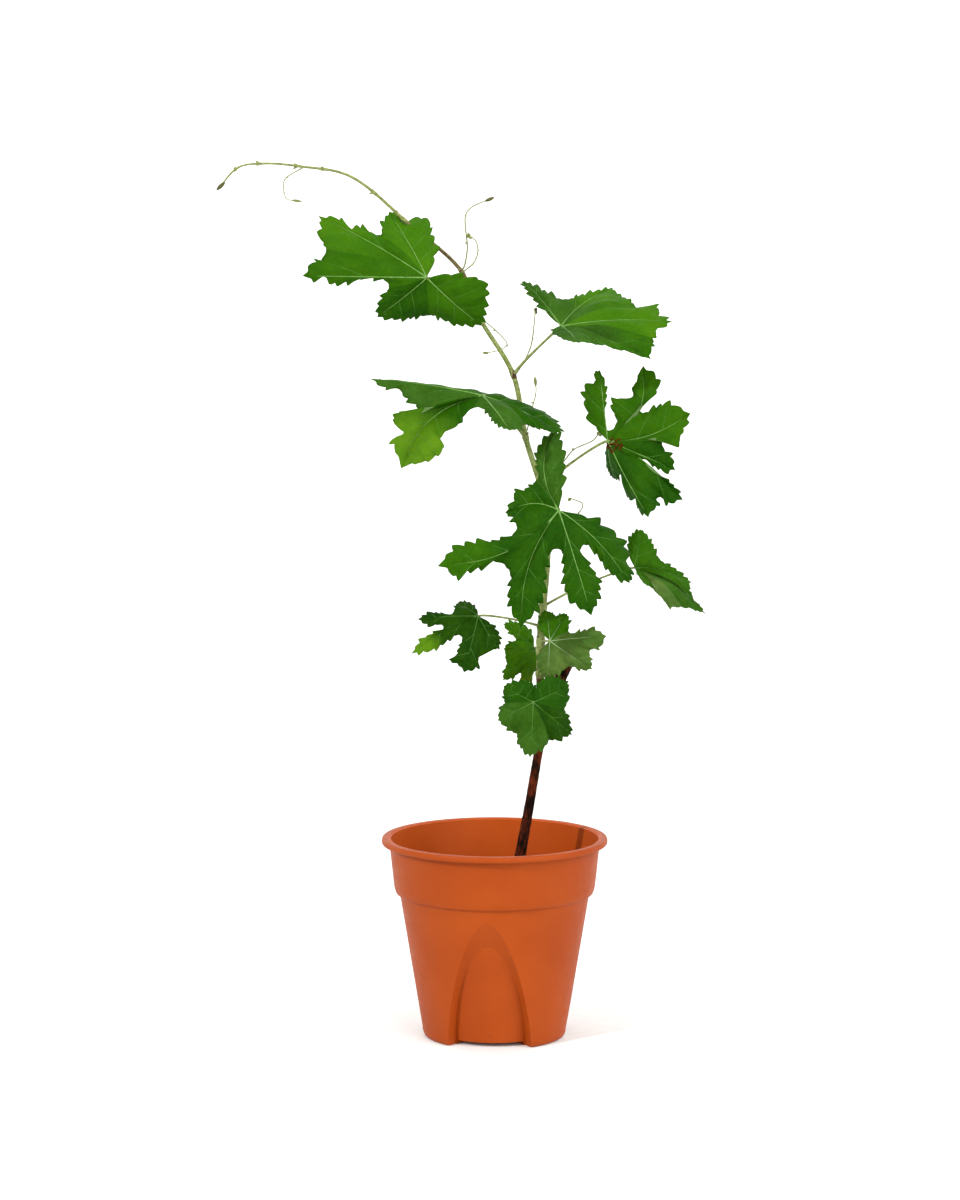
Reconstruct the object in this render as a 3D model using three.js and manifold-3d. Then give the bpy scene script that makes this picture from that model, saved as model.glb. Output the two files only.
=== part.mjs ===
// A young grapevine in a plastic nursery pot: one woody cutting with a cut top, one green shoot that
// arches to the left, ten lobed leaves on stalks and eight tendrils. Millimetres, +Z up. The origin is
// the middle of the pot's underside, and the plant's front faces -Y.
import * as THREE from 'three';
import { mergeVertices } from 'three/addons/utils/BufferGeometryUtils.js';
import Module from 'manifold-3d';

const wasm = await Module();
wasm.setup();

// Driving dimensions. GAP is the air between two pieces that would otherwise touch.
const GAP = 0.3;

const POT_HEIGHT = 133;
const LIP_RADIUS = 75;
const LIP_HEIGHT = 4;
const COLLAR_RADIUS = 69.7;
const COLLAR_FOOT_RADIUS = 66.7;
const COLLAR_FOOT_Z = 100;
const SHOULDER_Z = 92;
const SHOULDER_RADIUS = 62.4;
const FOOT_RADIUS = 47.2;
const FOOT_ROUND = 1.5;
const LIP_ROUND = 1;
const COLLAR_STEP = 3.5;
const WALL = 1.8;
const POT_SEGMENTS = 40;

// Three arched niches round the foot, each wider in the outer wall than in its own back wall. An arch's
// half-width is foot * (1 - (z / top) ** lean) ** round. A channel runs from each niche to a drain hole.
const ARCH_COUNT = 3;
const ARCH_TURN = -5;
const ARCH = { foot: 27.5, top: 87, lean: 1.6, round: 0.57 };
const NICHE = { foot: 23, top: 70, lean: 2, round: 0.55 };
const NICHE_RADIUS_TOP = 54;
const NICHE_RADIUS_FOOT = 38.7;
const ARCH_STEPS = 7;
const CHANNEL_HEIGHT = 2.7;
const CHANNEL_INNER_RADIUS = 17;
const DRAIN_RADIUS = 4;
const DRAIN_AT = 28;

// How far the cutting tools run past what they cut: shares of the niche's depth, and millimetres.
const WEDGE_IN = 2.2;
const WEDGE_OUT = 1.25;
const BELOW = 6;

const SOIL_Z = 100;
const SOIL_GAP = 0.5;

const CANE_PATH = [
  [13, 4, 97], [16.8, 4, 118.5], [23.1, 3, 153.7], [29.7, 1, 193.7], [34.4, 0, 217], [47.7, 2, 248.3],
];
const CANE_RADII = [3.7, 3.5, 3.1, 2.9, 3.6, 4.1];
const CANE_SIDES = 10;
const CANE_STEPS = 12;

// The shoot's radius falls from base to tip with the share of its length raised to SHOOT_TAPER. It is
// cut at the shares in SHOOT_CUTS, and its height grows all the way to the share SHOOT_RISING.
const SHOOT_PATH = [
  [35, -1, 218], [30.5, -5, 232], [30, -5.5, 248], [30.6, -4, 275], [34.3, 0, 317], [34.4, 2, 344],
  [30.3, 3, 365], [20, 0, 398.5], [12, 2, 439], [-9.7, 4, 476], [-21.5, 2, 506], [-54.5, -3, 536],
  [-93.8, -10, 568], [-123.8, -16, 574], [-148.7, -20, 576], [-165, -22, 573.5], [-177.3, -26, 560.5],
];
const SHOOT_BASE_RADIUS = 2.9;
const SHOOT_TIP_RADIUS = 0.55;
const SHOOT_TAPER = 0.8;
const SHOOT_CUTS = [0, 0.3, 0.5, 0.66, 0.84, 1];
const SHOOT_RISING = 0.8;
const SHOOT_SIDES = 8;
const SHOOT_STEPS = 12;
const BUD_RADIUS = 1.1;
const TIP_BUD_STRETCH = 3;

// Leaf blades. Shares are of a lobe's length, except BLADE_ARCH, which is of the way from its vein to its
// margin. SHOULDERS are the places of a margin's two control points on the way from the bay to the tip.
const BLADE_THICKNESS = 1.25;
const LARGE_LEAF = 50;
const LARGE_LEAF_TEETH = 3;
const SMALL_LEAF_TEETH = 2;
const TOOTH = 0.05;
const TOOTH_LEAN = 0.7;
const TOOTH_VALLEY = 0.4;
const SHOULDERS = [0.3, 0.72];
const VEIN_ARCH = 0.08;
const BLADE_ARCH = 0.1;
const HUB_EDGE = 0.1;
const OPEN_EDGE = 0.8;
const OPEN_SHOULDER = [0.85, 0.28];
const ROW_SPREAD = [1.2, 0.6];

// Leaf stalks. The first share is of the way to the hub, and the others are of the stalk's reach.
const STALK_RADIUS = 1.1;
const STALK_SIDES = 6;
const STALK_STEPS = 7;
const STALK_LEAVES_AT = 0.3;
const STALK_RISE = 0.06;
const STALK_BEHIND = 0.12;
const STALK_BELOW = 0.1;

// Leaves from the lowest up. A lobe is [heading, climb, length, bow, near, far]: heading 0 points to +X
// and 90 away from the front, climb is up from level, bow bends the vein sideways, and near and far widen
// the lobe towards its foot and its tip; these three are shares of its length. The lobes go round the hub
// anticlockwise, as the upper side shows them, from one side of the stalk's notch to the other. notches
// are the depths of the bays between lobes, out of the lobes' mean length, open turns the blade's two
// edges at the stalk's notch away from the outer veins, and from is the height of the leaf's knot.
const LEAVES = [
  {
    name: 'leaf_1', hub: [25, -28, 227], from: 224, open: [70, 68],
    lobes: [
      [149, 34, 24.4, 0, 0.09, 0.1], [165, -28, 26, 0, 0.13, 0.09], [116, -83, 35.6, 0, 0.12, 0.11],
      [33, -38, 37.6, 0, 0.11, 0.02], [28, 20, 27.6, 0.01, 0.1, 0.1],
    ],
    notches: [0.9, 0.89, 0.89, 0.86],
  },
  {
    name: 'leaf_2', hub: [26, 9, 258], from: 258, open: [54, 50],
    lobes: [
      [165, 36, 25.1, 0, -0.02, 0.06], [-165, 0, 20.2, 0.01, 0.11, 0.1],
      [-155, -42, 29.5, 0, 0.05, 0.04], [-151, -75, 25.9, 0, 0.04, 0.08],
      [45, -62, 21.7, 0.01, 0.08, 0.1],
    ],
    notches: [0.63, 0.92, 0.72, 0.71],
  },
  {
    name: 'leaf_3', hub: [36, -17, 266], from: 264, open: [46, 38],
    lobes: [
      [-123, -87, 23.6, 0, 0.06, 0.1], [-15, -32, 32.3, -0.01, -0.04, 0.08],
      [-8, 6, 36, -0.01, 0.05, 0.19], [40, 48, 21.8, 0, 0.06, 0.09], [99, 58, 21.1, -0.01, 0.04, 0.1],
    ],
    notches: [0.85, 0.85, 0.54, 0.88],
  },
  {
    name: 'leaf_4', hub: [-11, -14, 282], from: 274, open: [40, 36],
    lobes: [
      [141, 25, 17.9, 0.01, -0.02, 0.16], [-174, -2, 38.1, 0.01, 0, 0.14],
      [-164, -27, 48.9, -0.09, 0.05, 0.09], [-132, -69, 36.8, 0, 0.05, 0.24],
      [-10, -61, 24, 0, 0.02, 0.14],
    ],
    notches: [0.64, 0.57, 0.45, 0.94],
  },
  {
    name: 'leaf_5', hub: [92, 4, 312], from: 287, open: [27, 39],
    lobes: [
      [-62, -30, 19.6, 0.01, 0.04, 0.1], [-49, -36, 40.7, 0.01, -0.01, 0.1],
      [-18, -31, 54.3, 0.15, -0.03, 0], [8, -15, 38.4, 0.11, 0.09, 0.01],
      [64, 60, 26.4, 0.02, 0.01, 0.11],
    ],
    notches: [0.79, 0.95, 0.95, 0.79],
  },
  {
    name: 'leaf_6', hub: [41, -42, 354], from: 325, open: [14, 34],
    lobes: [
      [105, 73, 50.7, 0.29, 0.06, 0.23], [176, -3, 33.2, -0.3, 0.05, 0.17],
      [-172, -24, 82.8, 0.26, -0.08, 0.15], [-162, -71, 76.4, -0.2, 0, 0.14],
      [-17, -72, 68.2, -0.01, 0.07, 0.23], [17, -45, 66.2, 0.09, -0.07, 0.14],
    ],
    notches: [0.8, 0.51, 0.69, 0.36, 0.43],
  },
  {
    name: 'leaf_7', hub: [74, -4, 396], from: 365, open: [35, 25],
    lobes: [
      [69, -62, 28.2, -0.01, 0.02, 0.19], [-34, -57, 55.3, 0.01, 0.01, 0.2],
      [-19, -36, 60.6, 0.14, -0.04, 0.18], [-19, -21, 47.3, 0.01, -0.07, 0.14],
      [-11, 19, 55.2, -0.2, 0.08, 0.21], [12, 58, 52.7, -0.41, 0.09, 0.24],
      [138, 70, 43.9, 0, -0.05, 0.26],
    ],
    notches: [0.6, 0.89, 0.48, 0.76, 0.59, 0.15],
  },
  {
    name: 'leaf_8', hub: [-8, -26, 427], from: 398, open: [50, 49],
    lobes: [
      [79, -5, 40.9, 0, 0.01, 0.13], [172, 8, 72.2, 0.05, -0.07, 0.02],
      [-152, -37, 71.4, -0.31, 0.11, 0.39], [-65, -26, 44.4, -0.01, -0.04, 0.09],
      [-16, -24, 55.4, 0, 0.04, 0.15],
    ],
    notches: [0.47, 0.69, 0.27, 0.86],
  },
  {
    name: 'leaf_9', hub: [43, -8, 471], from: 439, open: [47, 8],
    lobes: [
      [-72, -16, 33.3, 0, 0.08, 0.11], [-32, -16, 67.2, -0.02, 0.06, 0.06],
      [-12, 3, 70.2, 0.01, 0.07, 0.04], [40, 28, 49.1, 0.11, 0.06, 0.03],
      [127, 36, 47.2, 0, -0.03, -0.01],
    ],
    notches: [0.89, 0.95, 0.89, 0.63],
  },
  {
    name: 'leaf_10', hub: [-44, -24, 503], from: 476, open: [43, 57],
    lobes: [
      [135, 50, 52.8, 0, 0.05, 0.09], [170, 29, 78.6, 0, 0.07, 0.04], [-173, 2, 79.3, 0, -0.08, 0.08],
      [162, -37, 41.1, 0, 0.08, 0.13], [25, -39, 47.9, -0.01, 0.08, 0.11],
    ],
    notches: [0.66, 0.84, 0.46, 0.9],
  },
];

// Tendrils, each from beside its root on the shoot to its bud.
const TENDRILS = [
  [[-20.5, 3.5, 508.5], [-18, 2, 520.5], [-19, -1, 543], [-15, -2, 548], [-2.5, -4, 553.5]],
  [[-21, -1.5, 506], [-13.5, -4, 512.5], [-11, -5, 520.5], [-13, -5, 527], [-17, -5, 529.5]],
  [[12, 5, 437], [19, 8, 447], [23.5, 9, 457], [25, 9, 465], [26.5, 9, 480]],
  [[20, 3, 398.5], [23, 5, 409.5], [25, 6, 419], [27, 6, 427.5], [26.5, 6, 435.5]],
  [[30.5, 6.5, 363], [46, 9, 382.5], [52, 9, 389.5], [65, 8, 396], [68.5, 7, 401]],
  [[34.5, 4, 333.5], [46.5, 8, 340], [54.5, 9, 346.5], [58, 9, 353.5], [50, 8, 357.5]],
  [[-9, 7, 475.5], [4.5, 8, 464], [8, 8, 458.5], [3.5, 8, 455], [-6, 8, 453]],
  [[-124, -16, 573.5], [-135.5, -14, 566], [-136.5, -13, 559.5], [-134.5, -13, 553.5], [-127, -13, 552]],
];
const TENDRIL_RADIUS = 0.5;
const TENDRIL_SIDES = 5;
const TENDRIL_STEPS = 12;

// Small helpers for vectors and solids
const vec = (p) => new THREE.Vector3(...p);
const radians = THREE.MathUtils.degToRad;

function along(heading, climb) {
  const level = Math.cos(radians(climb));
  return new THREE.Vector3(
    level * Math.cos(radians(heading)), level * Math.sin(radians(heading)), Math.sin(radians(climb)),
  );
}

function solid(geometry) {
  const bare = geometry.index ? geometry.clone() : geometry;
  bare.deleteAttribute('normal');
  bare.deleteAttribute('uv');
  const welded = mergeVertices(bare, 1e-4);
  const mesh = new wasm.Mesh({
    numProp: 3,
    vertProperties: Float32Array.from(welded.attributes.position.array),
    triVerts: Uint32Array.from(welded.index.array),
  });
  return new wasm.Manifold(mesh);
}

function geometryOf(body) {
  const mesh = body.getMesh();
  const geometry = new THREE.BufferGeometry();
  const places = Float32Array.from(mesh.vertProperties);
  geometry.setAttribute('position', new THREE.BufferAttribute(places, 3));
  geometry.setIndex(new THREE.BufferAttribute(Uint32Array.from(mesh.triVerts), 1));
  geometry.computeVertexNormals();
  return geometry;
}

// A closed solid between rings of points that have the same count, with a fan over each end.
function loft(rings) {
  const count = rings[0].length;
  const points = rings.flat().map((p) => p.clone());
  const index = [];
  for (let r = 0; r + 1 < rings.length; r += 1) {
    for (let i = 0; i < count; i += 1) {
      const a = r * count + i;
      const b = r * count + ((i + 1) % count);
      index.push(a, b, a + count, b, b + count, a + count);
    }
  }
  const lastRing = points.length - count;
  for (const start of [0, lastRing]) {
    const middle = new THREE.Vector3();
    for (let i = 0; i < count; i += 1) {
      middle.addScaledVector(points[start + i], 1 / count);
    }
    for (let i = 0; i < count; i += 1) {
      const a = start + i;
      const b = start + ((i + 1) % count);
      index.push(points.length, ...(start === 0 ? [b, a] : [a, b]));
    }
    points.push(middle);
  }
  const geometry = new THREE.BufferGeometry().setFromPoints(points);
  geometry.setIndex(index);
  return solid(geometry);
}

// The largest piece of a cut solid: scraps that a cut leaves beyond a neighbour are dropped.
function largest(body) {
  return body.decompose().reduce((best, piece) => (piece.volume() > best.volume() ? piece : best));
}

const materials = {
  pot: new THREE.MeshStandardMaterial({ color: 0xc4581f, roughness: 0.5, metalness: 0 }),
  soil: new THREE.MeshStandardMaterial({ color: 0x3a281c, roughness: 0.95, metalness: 0 }),
  cane: new THREE.MeshStandardMaterial({ color: 0x4a2517, roughness: 0.85, metalness: 0 }),
  shoot: new THREE.MeshStandardMaterial({ color: 0x8fa060, roughness: 0.6, metalness: 0 }),
  leaf: new THREE.MeshStandardMaterial({ color: 0x3f7d1a, roughness: 0.55, metalness: 0 }),
};

const plant = new THREE.Group();

function add(name, body, material) {
  const mesh = new THREE.Mesh(geometryOf(body), material.clone());
  mesh.name = name;
  plant.add(mesh);
}

// The pot: a thin turned wall with a rolled lip and a deeper collar, and three arched niches round its
// foot. The niche walls, the channels under the base and the inside all follow from the same sizes.
function wallRadius(z) {
  return THREE.MathUtils.mapLinear(z, 0, SHOULDER_Z, FOOT_RADIUS, SHOULDER_RADIUS);
}

function turned(profile) {
  const outline = profile.map(([r, z]) => new THREE.Vector2(r, z));
  return solid(new THREE.LatheGeometry(outline, POT_SEGMENTS).rotateX(Math.PI / 2));
}

function outerProfile() {
  const lipFoot = POT_HEIGHT - LIP_HEIGHT;
  return [
    [0, 0], [FOOT_RADIUS - FOOT_ROUND, 0], [wallRadius(FOOT_ROUND), FOOT_ROUND],
    [SHOULDER_RADIUS, SHOULDER_Z],
    [COLLAR_FOOT_RADIUS - 1, COLLAR_FOOT_Z - COLLAR_STEP],
    [COLLAR_FOOT_RADIUS, COLLAR_FOOT_Z],
    [COLLAR_RADIUS, lipFoot - LIP_ROUND], [COLLAR_RADIUS + LIP_ROUND, lipFoot],
    [LIP_RADIUS - LIP_ROUND, lipFoot], [LIP_RADIUS, lipFoot + LIP_ROUND],
    [LIP_RADIUS, POT_HEIGHT - LIP_ROUND], [LIP_RADIUS - LIP_ROUND, POT_HEIGHT], [0, POT_HEIGHT],
  ];
}

function innerProfile() {
  const mouth = POT_HEIGHT + BELOW;
  return [
    [0, WALL], [FOOT_RADIUS - WALL, WALL], [SHOULDER_RADIUS - WALL, SHOULDER_Z],
    [COLLAR_FOOT_RADIUS - WALL, COLLAR_FOOT_Z], [COLLAR_RADIUS - WALL, mouth], [0, mouth],
  ];
}

// The soil stands clear of the niche walls below and fills the pot above them.
function soilProfile() {
  const foot = CHANNEL_HEIGHT + WALL + GAP;
  const inside = (z) => nicheRadius(z) - WALL - SOIL_GAP;
  return [
    [0, foot], [inside(foot), foot], [inside(NICHE.top), NICHE.top],
    [SHOULDER_RADIUS - WALL - 2 * SOIL_GAP, SHOULDER_Z],
    [COLLAR_FOOT_RADIUS - WALL - SOIL_GAP, SOIL_Z], [0, SOIL_Z],
  ];
}

// A point on one side of an arch, as [half-width, height], from the foot at step 0 to the crown.
function archPoint(arch, grow, step) {
  const rise = Math.sin((step / ARCH_STEPS) * Math.PI / 2);
  return [(arch.foot + grow) * (1 - rise ** arch.lean) ** arch.round, (arch.top + grow) * rise];
}

function nicheRadius(z) {
  return THREE.MathUtils.mapLinear(z, 0, NICHE.top, NICHE_RADIUS_FOOT, NICHE_RADIUS_TOP);
}

// What one niche cuts away: a wedge that widens outwards, as far in as the niche's own wall, which is
// round like the pot's. grow thickens it on every side, for the wall behind the niche.
function nicheCutter(grow) {
  const inner = [];
  const outer = [];
  for (let i = ARCH_STEPS; i >= -ARCH_STEPS; i -= 1) {
    const side = Math.sign(i);
    const step = ARCH_STEPS - Math.abs(i);
    const [nicheX, nicheZ] = archPoint(NICHE, grow, step);
    const [archX, archZ] = archPoint(ARCH, grow, step);
    const nicheY = -Math.sqrt((nicheRadius(nicheZ) - grow) ** 2 - nicheX ** 2);
    const archY = -Math.sqrt(wallRadius(archZ) ** 2 - archX ** 2);
    const onNiche = new THREE.Vector3(side * nicheX, nicheY, nicheZ);
    const onWall = new THREE.Vector3(side * archX, archY, archZ);
    inner.push(onWall.clone().lerp(onNiche, WEDGE_IN));
    outer.push(onNiche.clone().lerp(onWall, WEDGE_OUT));
  }
  for (const ring of [inner, outer]) {
    ring.unshift(ring[0].clone().setZ(-BELOW));
    ring.push(ring[ring.length - 1].clone().setZ(-BELOW));
  }
  const beyond = outer.map((p) => p.clone().setY(p.y - LIP_RADIUS / 2));
  const coreFoot = -2 * BELOW;
  const core = turned([
    [0, coreFoot], [nicheRadius(coreFoot) - grow, coreFoot],
    [nicheRadius(COLLAR_FOOT_Z) - grow, COLLAR_FOOT_Z], [0, COLLAR_FOOT_Z],
  ]);
  return loft([inner, outer, beyond]).subtract(core);
}

// The channel that runs under the base from a niche towards the middle.
function channelCutter(grow) {
  const half = NICHE.foot + grow;
  const shape = new THREE.Shape();
  shape.moveTo(-half, -LIP_RADIUS);
  shape.lineTo(half, -LIP_RADIUS);
  shape.lineTo(half, grow - NICHE_RADIUS_FOOT);
  shape.quadraticCurveTo(half, grow - CHANNEL_INNER_RADIUS, 0, grow - CHANNEL_INNER_RADIUS);
  shape.quadraticCurveTo(-half, grow - CHANNEL_INNER_RADIUS, -half, grow - NICHE_RADIUS_FOOT);
  const depth = BELOW + CHANNEL_HEIGHT + grow;
  const block = new THREE.ExtrudeGeometry(shape, { depth, bevelEnabled: false, curveSegments: 6 });
  return solid(block.translate(0, 0, -BELOW));
}

function aroundPot(make) {
  let body = null;
  for (let i = 0; i < ARCH_COUNT; i += 1) {
    const piece = make().rotate([0, 0, ARCH_TURN + (i * 360) / ARCH_COUNT]);
    body = body ? body.add(piece) : piece;
  }
  return body;
}

function drain() {
  const hole = new THREE.CylinderGeometry(DRAIN_RADIUS, DRAIN_RADIUS, 4 * BELOW, 16);
  return solid(hole.rotateX(Math.PI / 2).translate(0, -DRAIN_AT, 0));
}

function makePot() {
  const walls = aroundPot(() => nicheCutter(WALL).add(channelCutter(WALL)));
  const cuts = aroundPot(() => nicheCutter(0).add(channelCutter(0)).add(drain()));
  return turned(outerProfile()).subtract(turned(innerProfile()).subtract(walls)).subtract(cuts);
}

add('pot', makePot(), materials.pot);
add('soil', turned(soilProfile()), materials.soil);

// A tapering limb round a smooth path, with flat ends. radiusAt takes the share of the way along it.
function limb(curve, from, to, radiusAt, sides, steps) {
  const rings = [];
  let across = new THREE.Vector3(0, 1, 0);
  for (let i = 0; i <= steps; i += 1) {
    const u = from + (to - from) * (i / steps);
    const centre = curve.getPointAt(u);
    const ahead = curve.getTangentAt(u);
    across = across.clone().addScaledVector(ahead, -across.dot(ahead)).normalize();
    const upward = ahead.clone().cross(across);
    const ring = [];
    for (let k = 0; k < sides; k += 1) {
      const turn = (2 * Math.PI * k) / sides;
      const out = across.clone().multiplyScalar(Math.cos(turn)).addScaledVector(upward, Math.sin(turn));
      ring.push(centre.clone().addScaledVector(out, radiusAt(u)));
    }
    rings.push(ring);
  }
  return loft(rings);
}

// A value read off a list that is spread evenly along 0 to 1.
function stepped(values, u) {
  const at = Math.min(Math.max(u, 0), 1) * (values.length - 1);
  const low = Math.min(Math.floor(at), values.length - 2);
  return THREE.MathUtils.lerp(values[low], values[low + 1], at - low);
}

const canePath = new THREE.CatmullRomCurve3(CANE_PATH.map(vec), false, 'centripetal');
const caneRadius = (u) => stepped(CANE_RADII, u);
const [caneFootX, caneFootY] = CANE_PATH[0];
const underground = new THREE.CylinderGeometry(LIP_RADIUS, LIP_RADIUS, SOIL_Z, CANE_SIDES);
underground.rotateX(Math.PI / 2).translate(caneFootX, caneFootY, SOIL_Z / 2 + GAP);
const cane = limb(canePath, 0, 1, caneRadius, CANE_SIDES, CANE_STEPS).subtract(solid(underground));
const aroundCane = limb(canePath, 0, 1, (u) => caneRadius(u) + GAP, CANE_SIDES, CANE_STEPS);
add('cane', cane, materials.cane);

// The green shoot springs from the cane's side and tapers all the way to its tip. It is cut at its bends,
// and carries a small knot where each leaf leaves it.
const shootPath = new THREE.CatmullRomCurve3(SHOOT_PATH.map(vec), false, 'centripetal');
const shootLength = shootPath.getLength();
const shootRadius = (u) => THREE.MathUtils.lerp(SHOOT_BASE_RADIUS, SHOOT_TIP_RADIUS, u ** SHOOT_TAPER);
const shootPieces = SHOOT_CUTS.length - 1;
const aroundShoot = limb(
  shootPath, 0, 1, (u) => shootRadius(u) + GAP, SHOOT_SIDES, shootPieces * SHOOT_STEPS,
);
for (let i = 0; i < shootPieces; i += 1) {
  const from = SHOOT_CUTS[i] + (i > 0 ? GAP / 2 / shootLength : 0);
  const to = SHOOT_CUTS[i + 1] - (i + 1 < shootPieces ? GAP / 2 / shootLength : 0);
  let piece = limb(shootPath, from, to, shootRadius, SHOOT_SIDES, SHOOT_STEPS);
  if (i === 0) {
    piece = largest(piece.subtract(aroundCane));
  }
  if (i + 1 === shootPieces) {
    const tip = new THREE.SphereGeometry(BUD_RADIUS, 6, 4).scale(1, 1, TIP_BUD_STRETCH);
    piece = piece.add(solid(tip.translate(...SHOOT_PATH[SHOOT_PATH.length - 1])));
  }
  add(`shoot_${i + 1}`, piece, materials.shoot);
}

// The share of the way along the shoot at which it reaches a height, on its rising part.
function shootAtHeight(z) {
  let low = 0;
  let high = SHOOT_RISING;
  for (let i = 0; i < 30; i += 1) {
    const middle = (low + high) / 2;
    if (shootPath.getPointAt(middle).z < z) {
      low = middle;
    } else {
      high = middle;
    }
  }
  return low;
}

// The blade is a sheet of triangles given as corner after corner. thicken makes it a closed solid.
function thicken(corners) {
  const sheet = mergeVertices(new THREE.BufferGeometry().setFromPoints(corners), 1e-3);
  sheet.computeVertexNormals();
  const place = sheet.attributes.position;
  const count = place.count;
  const points = [];
  for (const side of [0.5, -0.5]) {
    for (let i = 0; i < count; i += 1) {
      const out = new THREE.Vector3().fromBufferAttribute(sheet.attributes.normal, i);
      const point = new THREE.Vector3().fromBufferAttribute(place, i);
      points.push(point.addScaledVector(out, side * BLADE_THICKNESS));
    }
  }
  const faces = [];
  const edges = new Set();
  for (let i = 0; i < sheet.index.count; i += 3) {
    const [a, b, c] = sheet.index.array.slice(i, i + 3);
    if (a !== b && b !== c && a !== c) {
      faces.push([a, b, c]);
      [[a, b], [b, c], [c, a]].forEach(([from, to]) => edges.add(`${from},${to}`));
    }
  }
  const index = [];
  for (const [a, b, c] of faces) {
    index.push(a, b, c, c + count, b + count, a + count);
    for (const [from, to] of [[a, b], [b, c], [c, a]]) {
      if (!edges.has(`${to},${from}`)) {
        index.push(to, from, from + count, to, from + count, to + count);
      }
    }
  }
  const geometry = new THREE.BufferGeometry().setFromPoints(points);
  geometry.setIndex(index);
  return solid(geometry);
}

function bezier(points, t) {
  let row = points;
  while (row.length > 1) {
    row = row.slice(1).map((p, i) => row[i].clone().lerp(p, t));
  }
  return row[0];
}

// Works out a leaf's lobes as vectors from its hub: each one's vein, its upper side's normal, and the
// outline of its two halves, from the bay on that side to the tip.
function planLeaf(leaf) {
  const tips = leaf.lobes.map(([heading, climb, length]) => along(heading, climb).multiplyScalar(length));
  const bays = leaf.notches.map((depth, i) => {
    const normal = tips[i].clone().cross(tips[i + 1]).normalize();
    const middle = tips[i].clone().add(tips[i + 1]).multiplyScalar(0.5);
    const lift = 2 * VEIN_ARCH * depth * (1 - depth) * middle.length();
    return { normal, point: middle.multiplyScalar(depth).addScaledVector(normal, lift) };
  });
  return tips.map((tip, i) => {
    const length = tip.length();
    const ahead = tip.clone().normalize();
    const beside = [bays[i - 1], bays[i]];
    const normal = new THREE.Vector3();
    beside.forEach((bay) => bay && normal.add(bay.normal));
    normal.addScaledVector(ahead, -normal.dot(ahead)).normalize();
    const left = normal.clone().cross(ahead);
    const [, , , bow, near, far] = leaf.lobes[i];
    const crest = tip.clone().multiplyScalar(0.5).addScaledVector(normal, VEIN_ARCH * length);
    crest.addScaledVector(left, bow * length);
    const halves = beside.map((bay, side) => {
      const out = left.clone().multiplyScalar(side === 0 ? -1 : 1);
      if (!bay) {
        const turn = radians(leaf.open[side]);
        const edge = ahead.clone().multiplyScalar(Math.cos(turn)).addScaledVector(out, Math.sin(turn));
        const [shoulderAt, shoulderOut] = OPEN_SHOULDER;
        const outline = [
          edge.clone().multiplyScalar(HUB_EDGE * length),
          edge.clone().multiplyScalar(OPEN_EDGE * length),
          tip.clone().multiplyScalar(shoulderAt).addScaledVector(edge, shoulderOut * length),
          tip,
        ];
        return { side, out, outline, normal };
      }
      const sideways = bay.point.clone().addScaledVector(ahead, -bay.point.dot(ahead)).normalize();
      const outline = [0, ...SHOULDERS, 1].map((t) => bay.point.clone().lerp(tip, t));
      outline[1].addScaledVector(sideways, near * length);
      outline[2].addScaledVector(sideways, far * length);
      return { side, out: sideways, outline, normal: bay.normal };
    });
    const bayAt = (halves[0].outline[0].dot(ahead) + halves[1].outline[0].dot(ahead)) / (2 * length);
    const vein = [new THREE.Vector3(), crest, tip];
    return { length, ahead, normal, vein, halves, spread: ROW_SPREAD[0] - ROW_SPREAD[1] * bayAt };
  });
}

// One half of a lobe: rows run like side veins from the main vein out to the margin, whose teeth stand
// at every second row, and each row arches up from the vein and down again.
function halfLobe(lobe, half, large) {
  const rowCount = 2 * (large ? LARGE_LEAF_TEETH : SMALL_LEAF_TEETH) + 1;
  const steps = large ? [0, 0.5, 1] : [0, 1];
  const rows = [];
  for (let j = 0; j <= rowCount; j += 1) {
    const m = j / rowCount;
    const start = bezier(lobe.vein, m ** lobe.spread);
    const end = bezier(half.outline, m);
    if (j > 0 && j < rowCount) {
      const tooth = TOOTH * lobe.length;
      if (j % 2 === 1) {
        end.addScaledVector(half.out, TOOTH_LEAN * tooth).addScaledVector(lobe.ahead, TOOTH_LEAN * tooth);
      } else {
        end.addScaledVector(half.out, -TOOTH_VALLEY * tooth);
      }
    }
    const up = half.normal.clone().lerp(lobe.normal, m).normalize();
    const rise = BLADE_ARCH * start.distanceTo(end);
    rows.push(steps.map((u) => start.clone().lerp(end, u).addScaledVector(up, 4 * rise * u * (1 - u))));
  }
  const corners = [];
  for (let j = 0; j < rowCount; j += 1) {
    for (let k = 0; k + 1 < steps.length; k += 1) {
      const quad = [rows[j][k], rows[j + 1][k], rows[j + 1][k + 1], rows[j][k + 1]];
      const [a, b, c, d] = half.side === 1 ? quad : quad.reverse();
      corners.push(a, b, c, a, c, d);
    }
  }
  return corners;
}

// The stalk leaves the shoot a little upwards and comes up under the hub from the side of the notch.
function makeStalk(leaf, lobes) {
  const hub = vec(leaf.hub);
  const root = shootPath.getPointAt(shootAtHeight(leaf.from));
  const reach = root.distanceTo(hub);
  const forward = new THREE.Vector3();
  const up = new THREE.Vector3();
  lobes.forEach((lobe) => {
    forward.add(lobe.vein[2]);
    up.add(lobe.normal);
  });
  const leaving = root.clone().lerp(hub, STALK_LEAVES_AT);
  leaving.z += STALK_RISE * reach;
  const under = hub.clone().addScaledVector(forward.normalize(), -STALK_BEHIND * reach);
  under.addScaledVector(up.normalize(), -STALK_BELOW * reach);
  const curve = new THREE.CubicBezierCurve3(root, leaving, under, hub);
  return limb(curve, 0, 1, () => STALK_RADIUS, STALK_SIDES, STALK_STEPS);
}

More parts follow.
